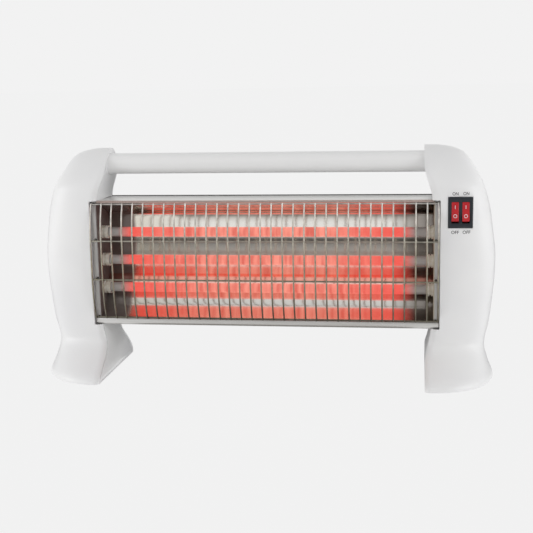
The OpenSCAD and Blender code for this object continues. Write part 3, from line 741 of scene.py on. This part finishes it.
def cover(side):
    """A whole cover: plate, housing box and holes. The left one is the mirror image."""
    piece = cover_plate()
    soften(piece, 0.25, segments=2)
    inset = SHELL_WALL + COVER_GAP + EDGE_FALL + 0.05
    combine(piece, block((INNER_X + WAIST + 0.7, POST_FRONT + inset, NOTCH_LOW - SHELL_WALL),
                         (FLOOR_X, POST_BACK - inset, NOTCH_HIGH + SHELL_WALL)), "UNION")
    cut(piece, block((INNER_X - 20, AHEAD, NOTCH_LOW), (NOTCH_X, POST_BACK, NOTCH_HIGH)))
    holes = [(TUBE_Y, TUBE_Z + row * TUBE_PITCH, CAP_R + CAP_GAP) for row in (-1, 0, 1)]
    for y, z, radius in holes + [(SCREW_Y, z, SCREW_HOLE_R) for z in SCREW_ZS]:
        cut(piece, round_bar((NOTCH_X - OUTSIDE, y, z), "X", HOLE_L, radius))
    start = (INNER_X - OUTSIDE, HANDLE_Y, HANDLE_Z)
    cut(piece, round_bar(start, "X", OUTSIDE + HANDLE_SEAT, HANDLE_R + FIT, FINE_SIDES))
    cut(piece, round_bar(start, "X", PLUG_HOLE_L, PLUG_HOLE_R))
    if side < 0:
        shape(piece, lambda p: (-p.x, p.y, p.z))
        piece.data.flip_normals()
    smooth(piece)
    return piece


for word, side in SIDES.items():
    hand_over(cover(side), f"{word}_leg_cover", white_abs, [f"{word}_inner_cover"])

# %% [markdown]
# ## Handle
# The handle is a steel tube, powder-coated white. The coat is a little glossier than the plastic and has the
# faint orange peel of a cured powder. A cylinder with both ends inset and bridged is a true tube.

# %% Material: white powder coat
powder_coat, shader = finish("white powder coat on steel tube", "#ECECEC", 0.32, {"IOR": 1.5})
relief(shader, 1.4, 0.012, detail=1.0)

# %% Model the handle
HANDLE_WALL = 1.6
HANDLE_L = handle_high.x - handle_low.x
handle = round_bar((handle_low.x, HANDLE_Y, HANDLE_Z), "X", HANDLE_L, HANDLE_R, FINE_SIDES)
edit(handle, "FACE", lambda f: abs(f.normal.x) > 0.9)
bpy.ops.mesh.inset(thickness=HANDLE_WALL * mm)
bpy.ops.mesh.bridge_edge_loops()
close_edit()
smooth(handle)
hand_over(handle, "carry_handle", powder_coat, ["handle_tube"])

# %% [markdown]
# ## Housing
# The housing is galvanised sheet, bent round the back of the trough from the lip at the bottom to the front
# edge of the top. A bent sheet has no sharp edges, so the profile is a path with an arc at each bend, laid on
# a grid. The vents in the back are cut with one rounded slot that is copied over the rows. The cut edges
# only need another finish on their faces, a matt one with the glow's warm light painted in, and the seam
# along the top is a slim bar of its own, painted dark as shade in the gap there.

# %% Material: galvanised sheet
# rolled zinc: satin grey, with faint streaks along the rolling
galvanised, shader = finish("galvanised sheet steel rolled", "#D4D3D0", 0.3, {"Metallic": 1.0})
ROLLED = (0.02, 1, 1)
mottle(shader, 1.2, "#CFCECB", "#DAD9D7", ROLLED)
relief(shader, 1.2, 0.004, ROLLED)

# %% Model the housing
SHEET = 0.8
BEND_R = 1.5
LIP = 6
TOP_FALL = 1.2
y0, y1 = trough_low.y, trough_high.y
z0, z1 = trough_low.z, trough_high.z
CORNERS = [(y0, z0 + LIP), (y0, z0), (y1, z0), (y1, z1 - TOP_FALL), (y0, z1)]


def bent(corners, radius, steps=5):
    """A path through corners, with an arc at each bend."""
    path = [Vector(corners[0])]
    for a, b, c in zip(corners, corners[1:], corners[2:]):
        a, b, c = Vector(a), Vector(b), Vector(c)
        r = min(radius, 0.45 * (a - b).length, 0.45 * (c - b).length)
        start, end = b + (a - b).normalized() * r, b + (c - b).normalized() * r
        for k in range(steps + 1):
            t = k / steps
            path.append(start * (1 - t) ** 2 + b * 2 * t * (1 - t) + end * t ** 2)
    return path + [Vector(corners[-1])]


def bent_sheet(path, half_width, columns, wall, offset=-1):
    """A sheet laid along a path of (y, z) points, its wall on the inner side, or outside if offset is 1."""
    rows = len(path) - 1
    bpy.ops.mesh.primitive_grid_add(x_subdivisions=columns, y_subdivisions=rows, size=2 * mm)
    sheet = bpy.context.object
    shape(sheet, lambda p: (p.x * half_width, *path[round((p.y + 1) / 2 * rows)]))
    modify(sheet, "SOLIDIFY", thickness=wall * mm, offset=offset, use_even_offset=True)
    return sheet


housing = bent_sheet(bent(CORNERS, BEND_R), trough_high.x, 12, SHEET)
soften(housing, 0.36, segments=4)
VENT_L, VENT_H = 22, 3
VENT_STEP, VENT_ROW = 27, 8
VENT_ROWS, VENT_SIDE = 4, 5
VENT_TOP, VENT_FOOT = z1 - 24, z0 + 20
slots = []
for row in range(VENT_ROWS):
    for x in range(-VENT_SIDE, VENT_SIDE + 1):
        for z in (VENT_TOP - VENT_ROW * row, VENT_FOOT + VENT_ROW * row):
            slots.append((x * VENT_STEP, z))
first = block((-VENT_L / 2, -2, -VENT_H / 2), (VENT_L / 2, 2, VENT_H / 2))
edit(first, "EDGE", runs_along(1))
bpy.ops.mesh.bevel(offset=VENT_H / 2 * 0.99 * mm, segments=6, affect="EDGES")
close_edit()
cutters = []
for x, z in slots:
    cutter = first.copy()
    cutter.data = first.data.copy()
    bpy.context.collection.objects.link(cutter)
    cutter.location = Vector((x, y1, z)) * mm
    cutters.append(cutter)
bpy.data.objects.remove(first)
cutter = weld_into(cutters[0], cutters[1:])
settle(cutter)
cut(housing, cutter)
smooth(housing)
hand_over(housing, "trough_housing", galvanised, ["back_housing"])

# %% Cut edges of the sheet


def paint_faces(piece, material, test):
    """Gives the faces that pass a test of middle (in millimetres) and normal a second material."""
    piece.data.materials.append(material)
    index = len(piece.data.materials) - 1
    chosen = [face for face in piece.data.polygons if test(face.center / mm, face.normal)]
    for face in chosen:
        face.material_index = index
    print(piece.name, "has", material.name, "on", len(chosen), "faces")


# a cut edge: bare and matt, with the warm light of the glow beside it painted into its pink colour
edge_with_painted_glow, shader = finish("cut edge of sheet matt with painted glow", "#D6CFC8", 0.75, {})
mottle(shader, 1, "#B8A49C", "#CBB9B2")
paint_faces(housing, edge_with_painted_glow, lambda c, normal: c.z > z1 - 1 and normal.y < -0.3)

# %% Material and model of the seam along the top's back edge
HEM = 0.9
# the hem's seam: painted dark as shade in the gap along the top's back edge, with faint streaks along it
seam_painted_shade, shader = finish("sheet seam painted shade", "#3C3B3A", 0.6, {})
mottle(shader, 3, "#343332", "#454443", (0.1, 1, 1))
seam_foot = z1 + SHEET - TOP_FALL - 0.2
seam = block((-trough_high.x, y1, seam_foot), (trough_high.x, y1 + SHEET, seam_foot + HEM))
soften(seam, 0.2)
hand_over(seam, "top_seam_painted_shade", seam_painted_shade)

# %% [markdown]
# ## Reflector
# The reflector is thin aluminium sheet, bright-rolled and curved into a trough behind the tubes. It mirrors
# the glowing tubes and the bright room in long bands, so its curve matters more than its colour. A path of
# arcs between a few corners is easy to steer, and a grid laid along it bends only one way, as sheet does.

# %% Material: bright aluminium
bright_aluminium, shader = finish("bright-rolled aluminium", "#F0EEE8", 0.11, {"Metallic": 1.0})
# the ends are darker grey, the left one most
DARK_ENDS = ((0.0, "#726B67"), (0.076, "#76706B"), (0.088, "#E4DFD2"), (0.3, "#F0EEE8"), (0.87, "#F0EEE8"),
          (0.94, "#A8A29B"), (1.0, "#7A736E"))
# two strips level with the gaps below the middle tube and above the lowest one carry a painted pink
# reflection of the glowing tubes
PAINTED_GLOW_BANDS = ((0.254, "#FFFFFF"), (0.271, "#FFB8AA"), (0.325, "#FFB8AA"), (0.338, "#FFFFFF"),
         (0.396, "#FFFFFF"), (0.408, "#FFB8AA"), (0.433, "#FFB8AA"), (0.446, "#FFFFFF"))
dark_ends = banded(shader, between(shader, "X", -170, 170), DARK_ENDS)
painted_glow_bands = banded(shader, between(shader, "Z", 60, 180), PAINTED_GLOW_BANDS)
ends_and_painted_glow = add(shader, "ShaderNodeMix", {SHARE: 1.0, FIRST: dark_ends, SECOND: painted_glow_bands},
           data_type="RGBA", blend_type="MULTIPLY")
link(ends_and_painted_glow.outputs[MIXED], shader, "Base Color")
# the left end is also made less metallic
link(between(shader, "X", -144, -140, 0.35, 1.0), shader, "Metallic")
relief(shader, 0.8, 0.001, (1, 0.02, 0.02))

# %% Model the reflector
REFLECTOR_T = 0.5
mirror_half = span("reflector")[1].x
MIRROR_DEPTH = 44.7
MIRROR_FRONT = trough_low.y + 1.3
MIRROR_FOOT = z0 + LIP + 0.5
MIRROR_HEAD = z1 - SHEET - 0.3 - REFLECTOR_T / 2
# corners as shares of its depth and height, found from the bands that the photograph shows
MIRROR_FORM = [(0, 0), (0.306, 0.039), (0.55, 0.175), (1.056, 0.563), (0.915, 0.855), (0.792, 0.895), (0, 1)]
BENDS = len(MIRROR_FORM) - 2
BEND_STEPS = 16


def knot(i):
    """The curve runs through the middles between its inner corners."""
    if i in (0, BENDS):
        return Vector(MIRROR_FORM[i and i + 1])
    return (Vector(MIRROR_FORM[i]) + Vector(MIRROR_FORM[i + 1])) / 2


mirror_path = []
for i in range(1, BENDS + 1):
    for k in range(0 if i == 1 else 1, BEND_STEPS + 1):
        t = k / BEND_STEPS
        p = knot(i - 1) * (1 - t) ** 2 + Vector(MIRROR_FORM[i]) * 2 * t * (1 - t) + knot(i) * t ** 2
        z = MIRROR_FOOT + (MIRROR_HEAD - MIRROR_FOOT) * p.y
        mirror_path.append(Vector((MIRROR_FRONT + MIRROR_DEPTH * p.x, z)))
mirror_path.append(Vector((MIRROR_FRONT, z1 - 0.05)))
mirror = bent_sheet(mirror_path, mirror_half, 40, REFLECTOR_T, 1)
smooth(mirror)
hand_over(mirror, "reflector_sheet", bright_aluminium, ["reflector"])
# the reflector's front flange gets the same matt edge, whose pink is painted glow
paint_faces(mirror, edge_with_painted_glow, lambda c, normal: c.y < MIRROR_FRONT + 0.3 and abs(normal.y) > 0.6)

# %% [markdown]
# ## Wire guard
# The guard is steel wire, spot-welded and nickel-plated: 33 upright wires that bow forward, and four cross
# wires behind them whose ends turn back into the end plates. Each upright wire is modelled the same way. It
# is a cylinder whose long edges are subdivided into rings, and each ring is moved on to the bow and tilted.

# %% Material: nickel-plated wire
# nickel: a satin shine, its colour darker and browner towards the bottom
nickel, shader = finish("nickel-plated steel wire", "#B5AE9F", 0.3, {"Metallic": 1.0})
TONE_BY_HEIGHT = ((0.0, "#8C877A"), (0.5, "#A9A593"), (1.0, "#CFCDC8"))
tone_by_height = banded(shader, between(shader, "Z", 60, 178), TONE_BY_HEIGHT)
spots = two_tone(shader, pattern(shader, 6), "#D8D8D8", "#FFFFFF")
tint = add(shader, "ShaderNodeMix", {SHARE: 1.0, FIRST: tone_by_height, SECOND: spots},
           data_type="RGBA", blend_type="MULTIPLY")
link(tint.outputs[MIXED], shader, "Base Color")

# %% Model the guard
WIRE_R = 0.8
WIRES = 33
WIRE_RINGS = 27
GUARD_BOW, BOW_POWER = 7.5, 3.5
guard_low, guard_high = span("wire_guard")
GUARD_X = guard_high.x - WIRE_R - 0.2
GUARD_TOP = guard_high.z - 1.4 * WIRE_R
GUARD_BOTTOM = guard_low.z + 1.4 * WIRE_R
GUARD_MID, GUARD_HALF = (GUARD_TOP + GUARD_BOTTOM) / 2, (GUARD_TOP - GUARD_BOTTOM) / 2
GUARD_Y = trough_low.y - 2.7
CROSS_MID, CROSS_HALF = GUARD_MID + 1.9, 19.85
CROSS_ZS = [GUARD_BOTTOM, CROSS_MID - CROSS_HALF, CROSS_MID + CROSS_HALF, GUARD_TOP]
PRONG_X = trough_high.x - 3.4
PRONG_END = trough_low.y + 6
WELDED = 1.8 * WIRE_R
WIRE_SIDES, CROSS_SIDES = 10, 12


def bow_y(z):
    return GUARD_Y - GUARD_BOW * (1 - min(1.0, abs(z - GUARD_MID) / GUARD_HALF) ** BOW_POWER)


def upright_wire(x):
    """A round wire bowed forward."""
    wire = round_bar((0, 0, guard_low.z), "Z", guard_high.z - guard_low.z, WIRE_R, WIRE_SIDES)
    edit(wire, "EDGE", runs_along(2))
    bpy.ops.mesh.subdivide(number_cuts=WIRE_RINGS)
    close_edit()

    def lay(point):
        step = 0.5
        lean = math.atan2(bow_y(point.z + step) - bow_y(point.z - step), 2 * step)
        z = min(max(point.z - point.y * math.sin(lean), guard_low.z), guard_high.z)
        return x + point.x, bow_y(point.z) + point.y * math.cos(lean), z

    shape(wire, lay)
    return wire


def cross_wire(z):
    """A straight wire behind the uprights, and its two prongs that run back into the end plates."""
    y = bow_y(z) + WELDED
    bars = [round_bar((guard_low.x, y, z), "X", guard_high.x - guard_low.x, WIRE_R, CROSS_SIDES)]
    for side in (-1, 1):
        bars.append(round_bar((side * PRONG_X, y, z), "Y", PRONG_END - y, WIRE_R, CROSS_SIDES))
    return bars


wires = [upright_wire(GUARD_X * (2 * k / (WIRES - 1) - 1)) for k in range(WIRES)]
for z in CROSS_ZS:
    wires += cross_wire(z)
guard = weld_into(wires[0], wires[1:])
smooth(guard, 50)
hand_over(guard, "guard_of_wires", nickel, ["wire_guard"])

# %% [markdown]
# ## Quartz tubes and heating coils
# Each tube holds a coil of heating alloy that glows where it is wound and stays dark at its straight ends.
# The quartz is clear but lights up salmon red round the glowing coil. The coil is a small circle of wire
# that the Screw modifier winds along the tube.

# %% Material: quartz
GLOW_HALF = 150
BLACK = linear("#000000")
quartz, shader = finish("clear quartz tube", "#D2CECA", 0.08, {
    "IOR": 1.46, "Alpha": 0.65, "Emission Strength": 1.0})
fade = between(shader, "X", GLOW_HALF - 14, GLOW_HALF + 2, 1.0, 0.0, mirrored=True)
haze = between(shader, "X", 60, GLOW_HALF - 14, mirrored=True)
glow = two_tone(shader, pattern(shader, 5, (1, 0.12, 0.12)), "#D66658", "#F69886")
glow = add(shader, "ShaderNodeMix", {SHARE: haze, FIRST: glow, SECOND: linear("#EC584E")},
           data_type="RGBA")
lit = add(shader, "ShaderNodeMix",
          {SHARE: fade, FIRST: BLACK, SECOND: glow.outputs[MIXED]}, data_type="RGBA")
link(lit.outputs[MIXED], shader, "Emission Color")
glass = add(shader, "ShaderNodeMix",
            {SHARE: fade, FIRST: linear("#C4C0BC"), SECOND: linear("#4A3430")}, data_type="RGBA")
link(glass.outputs[MIXED], shader, "Base Color")

# %% Material: glowing alloy
heating_alloy, shader = finish("heating alloy glowing red", "#5A3A34", 0.6, {
    "Metallic": 0.4, "Emission Strength": 0.8})
fade = between(shader, "X", GLOW_HALF - 8, GLOW_HALF + 1, 1.0, 0.0, mirrored=True)
lit = add(shader, "ShaderNodeMix",
          {SHARE: fade, FIRST: BLACK, SECOND: linear("#FF4A38")}, data_type="RGBA")
link(lit.outputs[MIXED], shader, "Emission Color")

# %% Model the coils
COIL_WIRE_R = 0.35
COIL_PITCH = 1.5
COIL_STEPS = 10
LEAD_R = 0.7


def coil(row, word):
    """One wound coil with its straight lead-outs."""
    low, high = span(f"heating_coil_{word}")
    radius = (high.y - low.y) / 2 - COIL_WIRE_R
    z = TUBE_Z + row * TUBE_PITCH
    start = Vector((-GLOW_HALF, TUBE_Y, z)) * mm
    bpy.ops.mesh.primitive_circle_add(vertices=6, radius=COIL_WIRE_R * mm, fill_type="NGON",
                                      location=start, rotation=(QUARTER_TURN, 0, 0))
    wound = bpy.context.object
    only(wound)
    bpy.ops.object.transform_apply(location=False, rotation=True, scale=True)
    for vertex in wound.data.vertices:
        vertex.co.z += radius * mm
    turns = round(2 * GLOW_HALF / COIL_PITCH)
    edit(wound, "FACE", lambda f: True)
    bpy.ops.mesh.delete(type="ONLY_FACE")
    close_edit()
    modify(wound, "SCREW", axis="X", angle=math.tau, screw_offset=COIL_PITCH * mm, iterations=turns,
           steps=COIL_STEPS, render_steps=COIL_STEPS, use_merge_vertices=False)
    settle(wound)
    edit(wound, "EDGE", lambda e: e.is_boundary)
    bpy.ops.mesh.edge_face_add()
    close_outwards()
    ends = [round_bar((x, TUBE_Y, z), "X", high.x - GLOW_HALF, LEAD_R, 12) for x in (low.x, GLOW_HALF)]
    piece = weld_into(wound, ends)
    smooth(piece, 60)
    return piece


ROWS = {"top": 1, "middle": 0, "bottom": -1}
for word, row in ROWS.items():
    hand_over(coil(row, word), f"coil_{word}", heating_alloy, [f"heating_coil_{word}"])

# %% [markdown]
# ## Switch
# The switch is one black nylon body with two windows, and a red rocker in each. The bezel is a plate with
# rounded edges on a deeper box. The windows are cut with two blocks.

# %% Materials of the switch
# nylon: half dull, because its mould has a fine grain
black_nylon, shader = finish("black nylon moulded", "#1C2229", 0.45, {"IOR": 1.53})
relief(shader, 0.5, 0.008, detail=1.0)
# polycarbonate: smooth and glossy, and a little cloudy in its red
red_plastic, shader = finish("red polycarbonate moulded", "#B81D26", 0.25, {"IOR": 1.58})
mottle(shader, 8, "#B01A23", "#BE2029")
# hot-stamped ink: flat and slightly patchy, tinged by the red under it
white_mark, shader = finish("pink-white ink hot-stamped", "#E0C8CC", 0.5, {})
mottle(shader, 0.7, "#DCC2C6", "#E6D0D3")

# %% Model the switch body
ROCKER_W = 6.8
ROCKER_L = 20.2
ROCKER_TURN = 20
ROCKER_FACE = 5.4
PIVOT_Y = bezel_low.y + 5.4
SWITCH_Z = centre("switch_body").z
ROCKER_XS = {word: centre(f"rocker_{word}").x for word in SIDES}
BOX_IN_X, BOX_IN_Z = 1.25, 1.8
WINDOW_W, WINDOW_L = ROCKER_W / 2 + 0.2, ROCKER_L / 2 + 0.25
BEZEL_ROUND = 0.8

bezel = around_bezel(0, 0, bezel_low.y, seat_y)
edit(bezel, "EDGE", runs_along(1))
bpy.ops.mesh.bevel(offset=BEZEL_ROUND * mm, segments=4, affect="EDGES")
close_edit()
combine(bezel, around_bezel(-BOX_IN_X, -BOX_IN_Z, seat_y - 0.5, bezel_high.y), "UNION")
for x in ROCKER_XS.values():
    cut(bezel, block((x - WINDOW_W, bezel_low.y - 2, SWITCH_Z - WINDOW_L),
                     (x + WINDOW_W, bezel_low.y + 10, SWITCH_Z + WINDOW_L)))
soften(bezel, 0.3, segments=2)
smooth(bezel)
hand_over(bezel, "switch_frame", black_nylon, ["switch_body"])

# %% Model the rockers
TILT = math.radians(ROCKER_TURN / 2)
PIN_R, PIN_OUT = 1.2, 0.9
STROKE_HALF = (0.3, 0.06, 1.7)
RING_R, RING_WIRE, RING_FLAT = 1.55, 0.3, 0.15


def turned(y, z, angle):
    return y * math.cos(angle) - z * math.sin(angle), y * math.sin(angle) + z * math.cos(angle)


def rocker(x):
    """A rocker at rest in ON: its side view is extruded across, its edges rounded, and it is tilted."""
    tip = turned(-ROCKER_FACE, ROCKER_L / 2, TILT)
    root = turned(-1, ROCKER_L / 2, TILT)
    valley = -ROCKER_FACE / math.cos(TILT)
    side_view = [(valley, 0), tip, root, (1.6, 4), (2.6, 0), (1.6, -4)]
    side_view += [(root[0], -root[1]), (tip[0], -tip[1])]
    bpy.ops.mesh.primitive_circle_add(vertices=len(side_view), radius=mm, fill_type="NGON")
    piece = bpy.context.object
    for vertex, (y, z) in zip(piece.data.vertices, side_view):
        vertex.co = Vector((-ROCKER_W / 2, y, z)) * mm
    edit(piece, "FACE", lambda f: True)
    bpy.ops.mesh.extrude_region_move(TRANSFORM_OT_translate={"value": (ROCKER_W * mm, 0, 0)})
    close_outwards()
    soften(piece, 0.35, angle=30)
    pin = round_bar((-ROCKER_W / 2 - PIN_OUT, 0, 0), "X", ROCKER_W + 2 * PIN_OUT, PIN_R, 24)
    combine(piece, pin, "UNION")
    piece.rotation_euler = (-TILT, 0, 0)
    piece.location = Vector((x, PIVOT_Y, SWITCH_Z)) * mm
    smooth(piece)
    return piece


def rocker_marks(x):
    """The I and the O on a rocker's two faces, as thin raised ink."""
    on_face = Matrix.Translation(Vector((x, PIVOT_Y, SWITCH_Z)) * mm) @ Matrix.Rotation(-TILT, 4, "X")
    stroke = block([-half for half in STROKE_HALF], STROKE_HALF)
    soften(stroke, 0.05, segments=1)
    bpy.ops.mesh.primitive_torus_add(major_radius=RING_R * mm, minor_radius=RING_WIRE * mm, major_segments=40,
                                     minor_segments=8, rotation=(QUARTER_TURN, 0, 0))
    ring = bpy.context.object
    settle(ring)
    shape(ring, lambda p: (p.x, p.y * RING_FLAT, p.z))
    middle = ROCKER_L / 4 + 0.3
    for mark, side in ((stroke, 1), (ring, -1)):
        lean = Matrix.Rotation(side * TILT, 4, "X")
        lift = Matrix.Translation(Vector((0, -ROCKER_FACE - 0.02, side * middle)) * mm)
        mark.matrix_world = on_face @ lean @ lift
        settle(mark)
    return weld_into(stroke, [ring])


for word, x in ROCKER_XS.items():
    body = f"{word}_rocker"
    hand_over(rocker(x), f"{body}_cap", red_plastic, [f"rocker_{word}"], body)
    hand_over(rocker_marks(x), f"{body}_marks", white_mark, body=body)

# %% [markdown]
# ## Printed words
# ON stands above each rocker and OFF below it, pad-printed in black on the leg. Text is made a mesh first,
# and its points are then laid on the leg's curved front, so that the print follows the surface.

# %% Material: black print
# pad-printed ink: thin, so its black is uneven
black_ink, shader = finish("black ink pad-printed", "#2B2B2B", 0.55, {})
mottle(shader, 0.5, "#1E1E1E", "#3A3A3A")

# %% Model the words
WORDS = [("ON", "left", 189.6, 186.9, 0.87), ("ON", "right", 199.9, 186.9, 0.87),
         ("OFF", "left", 189.5, 149.6, 1.0), ("OFF", "right", 200.4, 149.6, 1.0)]
LETTER_H = 3.0
CAPITAL_SHARE = 0.7
INK = 0.04
INK_SPREAD = 0.05


def printed(word, x, z, narrow):
    """A word whose middle is at x and z on the right leg's front, with its width scaled by a factor."""
    bpy.ops.object.text_add()
    text = bpy.context.object
    text.data.body = word
    text.data.size = LETTER_H * mm / CAPITAL_SHARE
    text.data.align_x, text.data.align_y = "CENTER", "CENTER"
    text.data.extrude = INK / 2 * mm
    text.data.offset = INK_SPREAD * mm
    only(text)
    bpy.ops.object.convert(target="MESH")
    print_mesh = bpy.context.object
    modify(print_mesh, "TRIANGULATE")
    shape(print_mesh, lambda p: (x + narrow * p.x,
                                 skin_y(x + narrow * p.x, z + p.y) - INK / 2 - p.z, z + p.y))
    return print_mesh


for word, side, x, z, narrow in WORDS:
    hand_over(printed(word, x, z, narrow), f"print_{word}_{side}", black_ink)

# %% [markdown]
# ## Parts that keep their CAD shape
# Caps, screws, pins, pads and the small parts inside the legs are turned or stamped parts whose CAD solids
# are already right. Each gets the finish of its real material.

# %% Material: steatite
# fired steatite: dull and off-white, with warmer spots and a dry grain
steatite, shader = finish("steatite ceramic unglazed", "#E6E1D5", 0.6, {"IOR": 1.6})
mottle(shader, 3, "#DDD6C6", "#EDE9E0")
relief(shader, 0.4, 0.02)

# %% Materials of the small parts
# rubber: dull, with a coarse grain
rubber, shader = finish("black rubber moulded", "#262626", 0.85, {"IOR": 1.52})
relief(shader, 0.5, 0.03)
# zinc plating: bright, with paler and darker crystals
zinc, shader = finish("zinc-plated steel", "#B9BBB8", 0.3, {"Metallic": 1.0})
mottle(shader, 1.5, "#A8ABA6", "#C6C8C2")
# brass strip: warm yellow, tarnished in spots
brass, shader = finish("brass strip stamped", "#C9A95B", 0.3, {"Metallic": 1.0})
mottle(shader, 2, "#B89849", "#D4B66B")
# nylon again, with a slightly stronger grain
grey_nylon, shader = finish("grey nylon moulded", "#6E6F72", 0.5, {"IOR": 1.53})
relief(shader, 0.5, 0.01)
# urea resin: hard and half glossy, in a cloudy ivory
ivory_resin, shader = finish("ivory urea resin moulded", "#DDD5B8", 0.4, {"IOR": 1.55})
mottle(shader, 4, "#D5CCAE", "#E3DCC3")
# a woven sleeve: soft red, with the bumps of its weave
silicone, shader = finish("red silicone sleeve woven", "#8A2A22", 0.6, {"IOR": 1.41})
relief(shader, 0.8, 0.03)

# %% Material: end plates
plate_x = span("right_end_plate")[0].x


def end_steel(name, dark, light):
    """Galvanised steel, bright outside, with its inner face coloured between two tones."""
    steel, shader = finish(name, "#C8CACC", 0.4, {"Metallic": 0.3})
    inner = between(shader, "X", plate_x + 0.3, plate_x + 1.2, mirrored=True)
    inner_tone = two_tone(shader, pattern(shader, 12), dark, light)
    plain = two_tone(shader, pattern(shader, 1, (1, 1, 0.03)), "#BEBDBB", "#D6D5D3")
    tone = add(shader, "ShaderNodeMix", {SHARE: inner, FIRST: inner_tone, SECOND: plain},
               data_type="RGBA")
    link(tone.outputs[MIXED], shader, "Base Color")
    return steel


left_steel = end_steel("galvanised end plate dark inside", "#6A605C", "#7C7370")
right_steel = end_steel("galvanised end plate cream inside", "#B4A894", "#CABFAA")

# %% Give the CAD parts their finishes
FINISHES = {
    steatite: [f"{side}_cap_{row}" for side in SIDES for row in ROWS],
    quartz: [f"quartz_tube_{row}" for row in ROWS],
    left_steel: ["left_end_plate"],
    right_steel: ["right_end_plate"],
    rubber: ["left_foot_pads", "right_foot_pads"],
    zinc: ["left_leg_screws", "right_leg_screws", "handle_screws", "tip_spring"],
    white_abs: ["handle_end_plugs"],
    brass: ["left_terminal_pins", "right_terminal_pins", "left_bus_bar", "switch_terminals"],
    black_nylon: ["cord_gland", "tip_switch_body"],
    grey_nylon: ["tip_plunger"],
    ivory_resin: ["terminal_block"],
    silicone: ["lead_wires"]}
for material, names in FINISHES.items():
    for name in names:
        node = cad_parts[name]
        node.data.materials.clear()
        node.data.materials.append(material)
    print(material.name, "on", len(names), "CAD parts")

# %% Finish with the floor selected
only(floor)
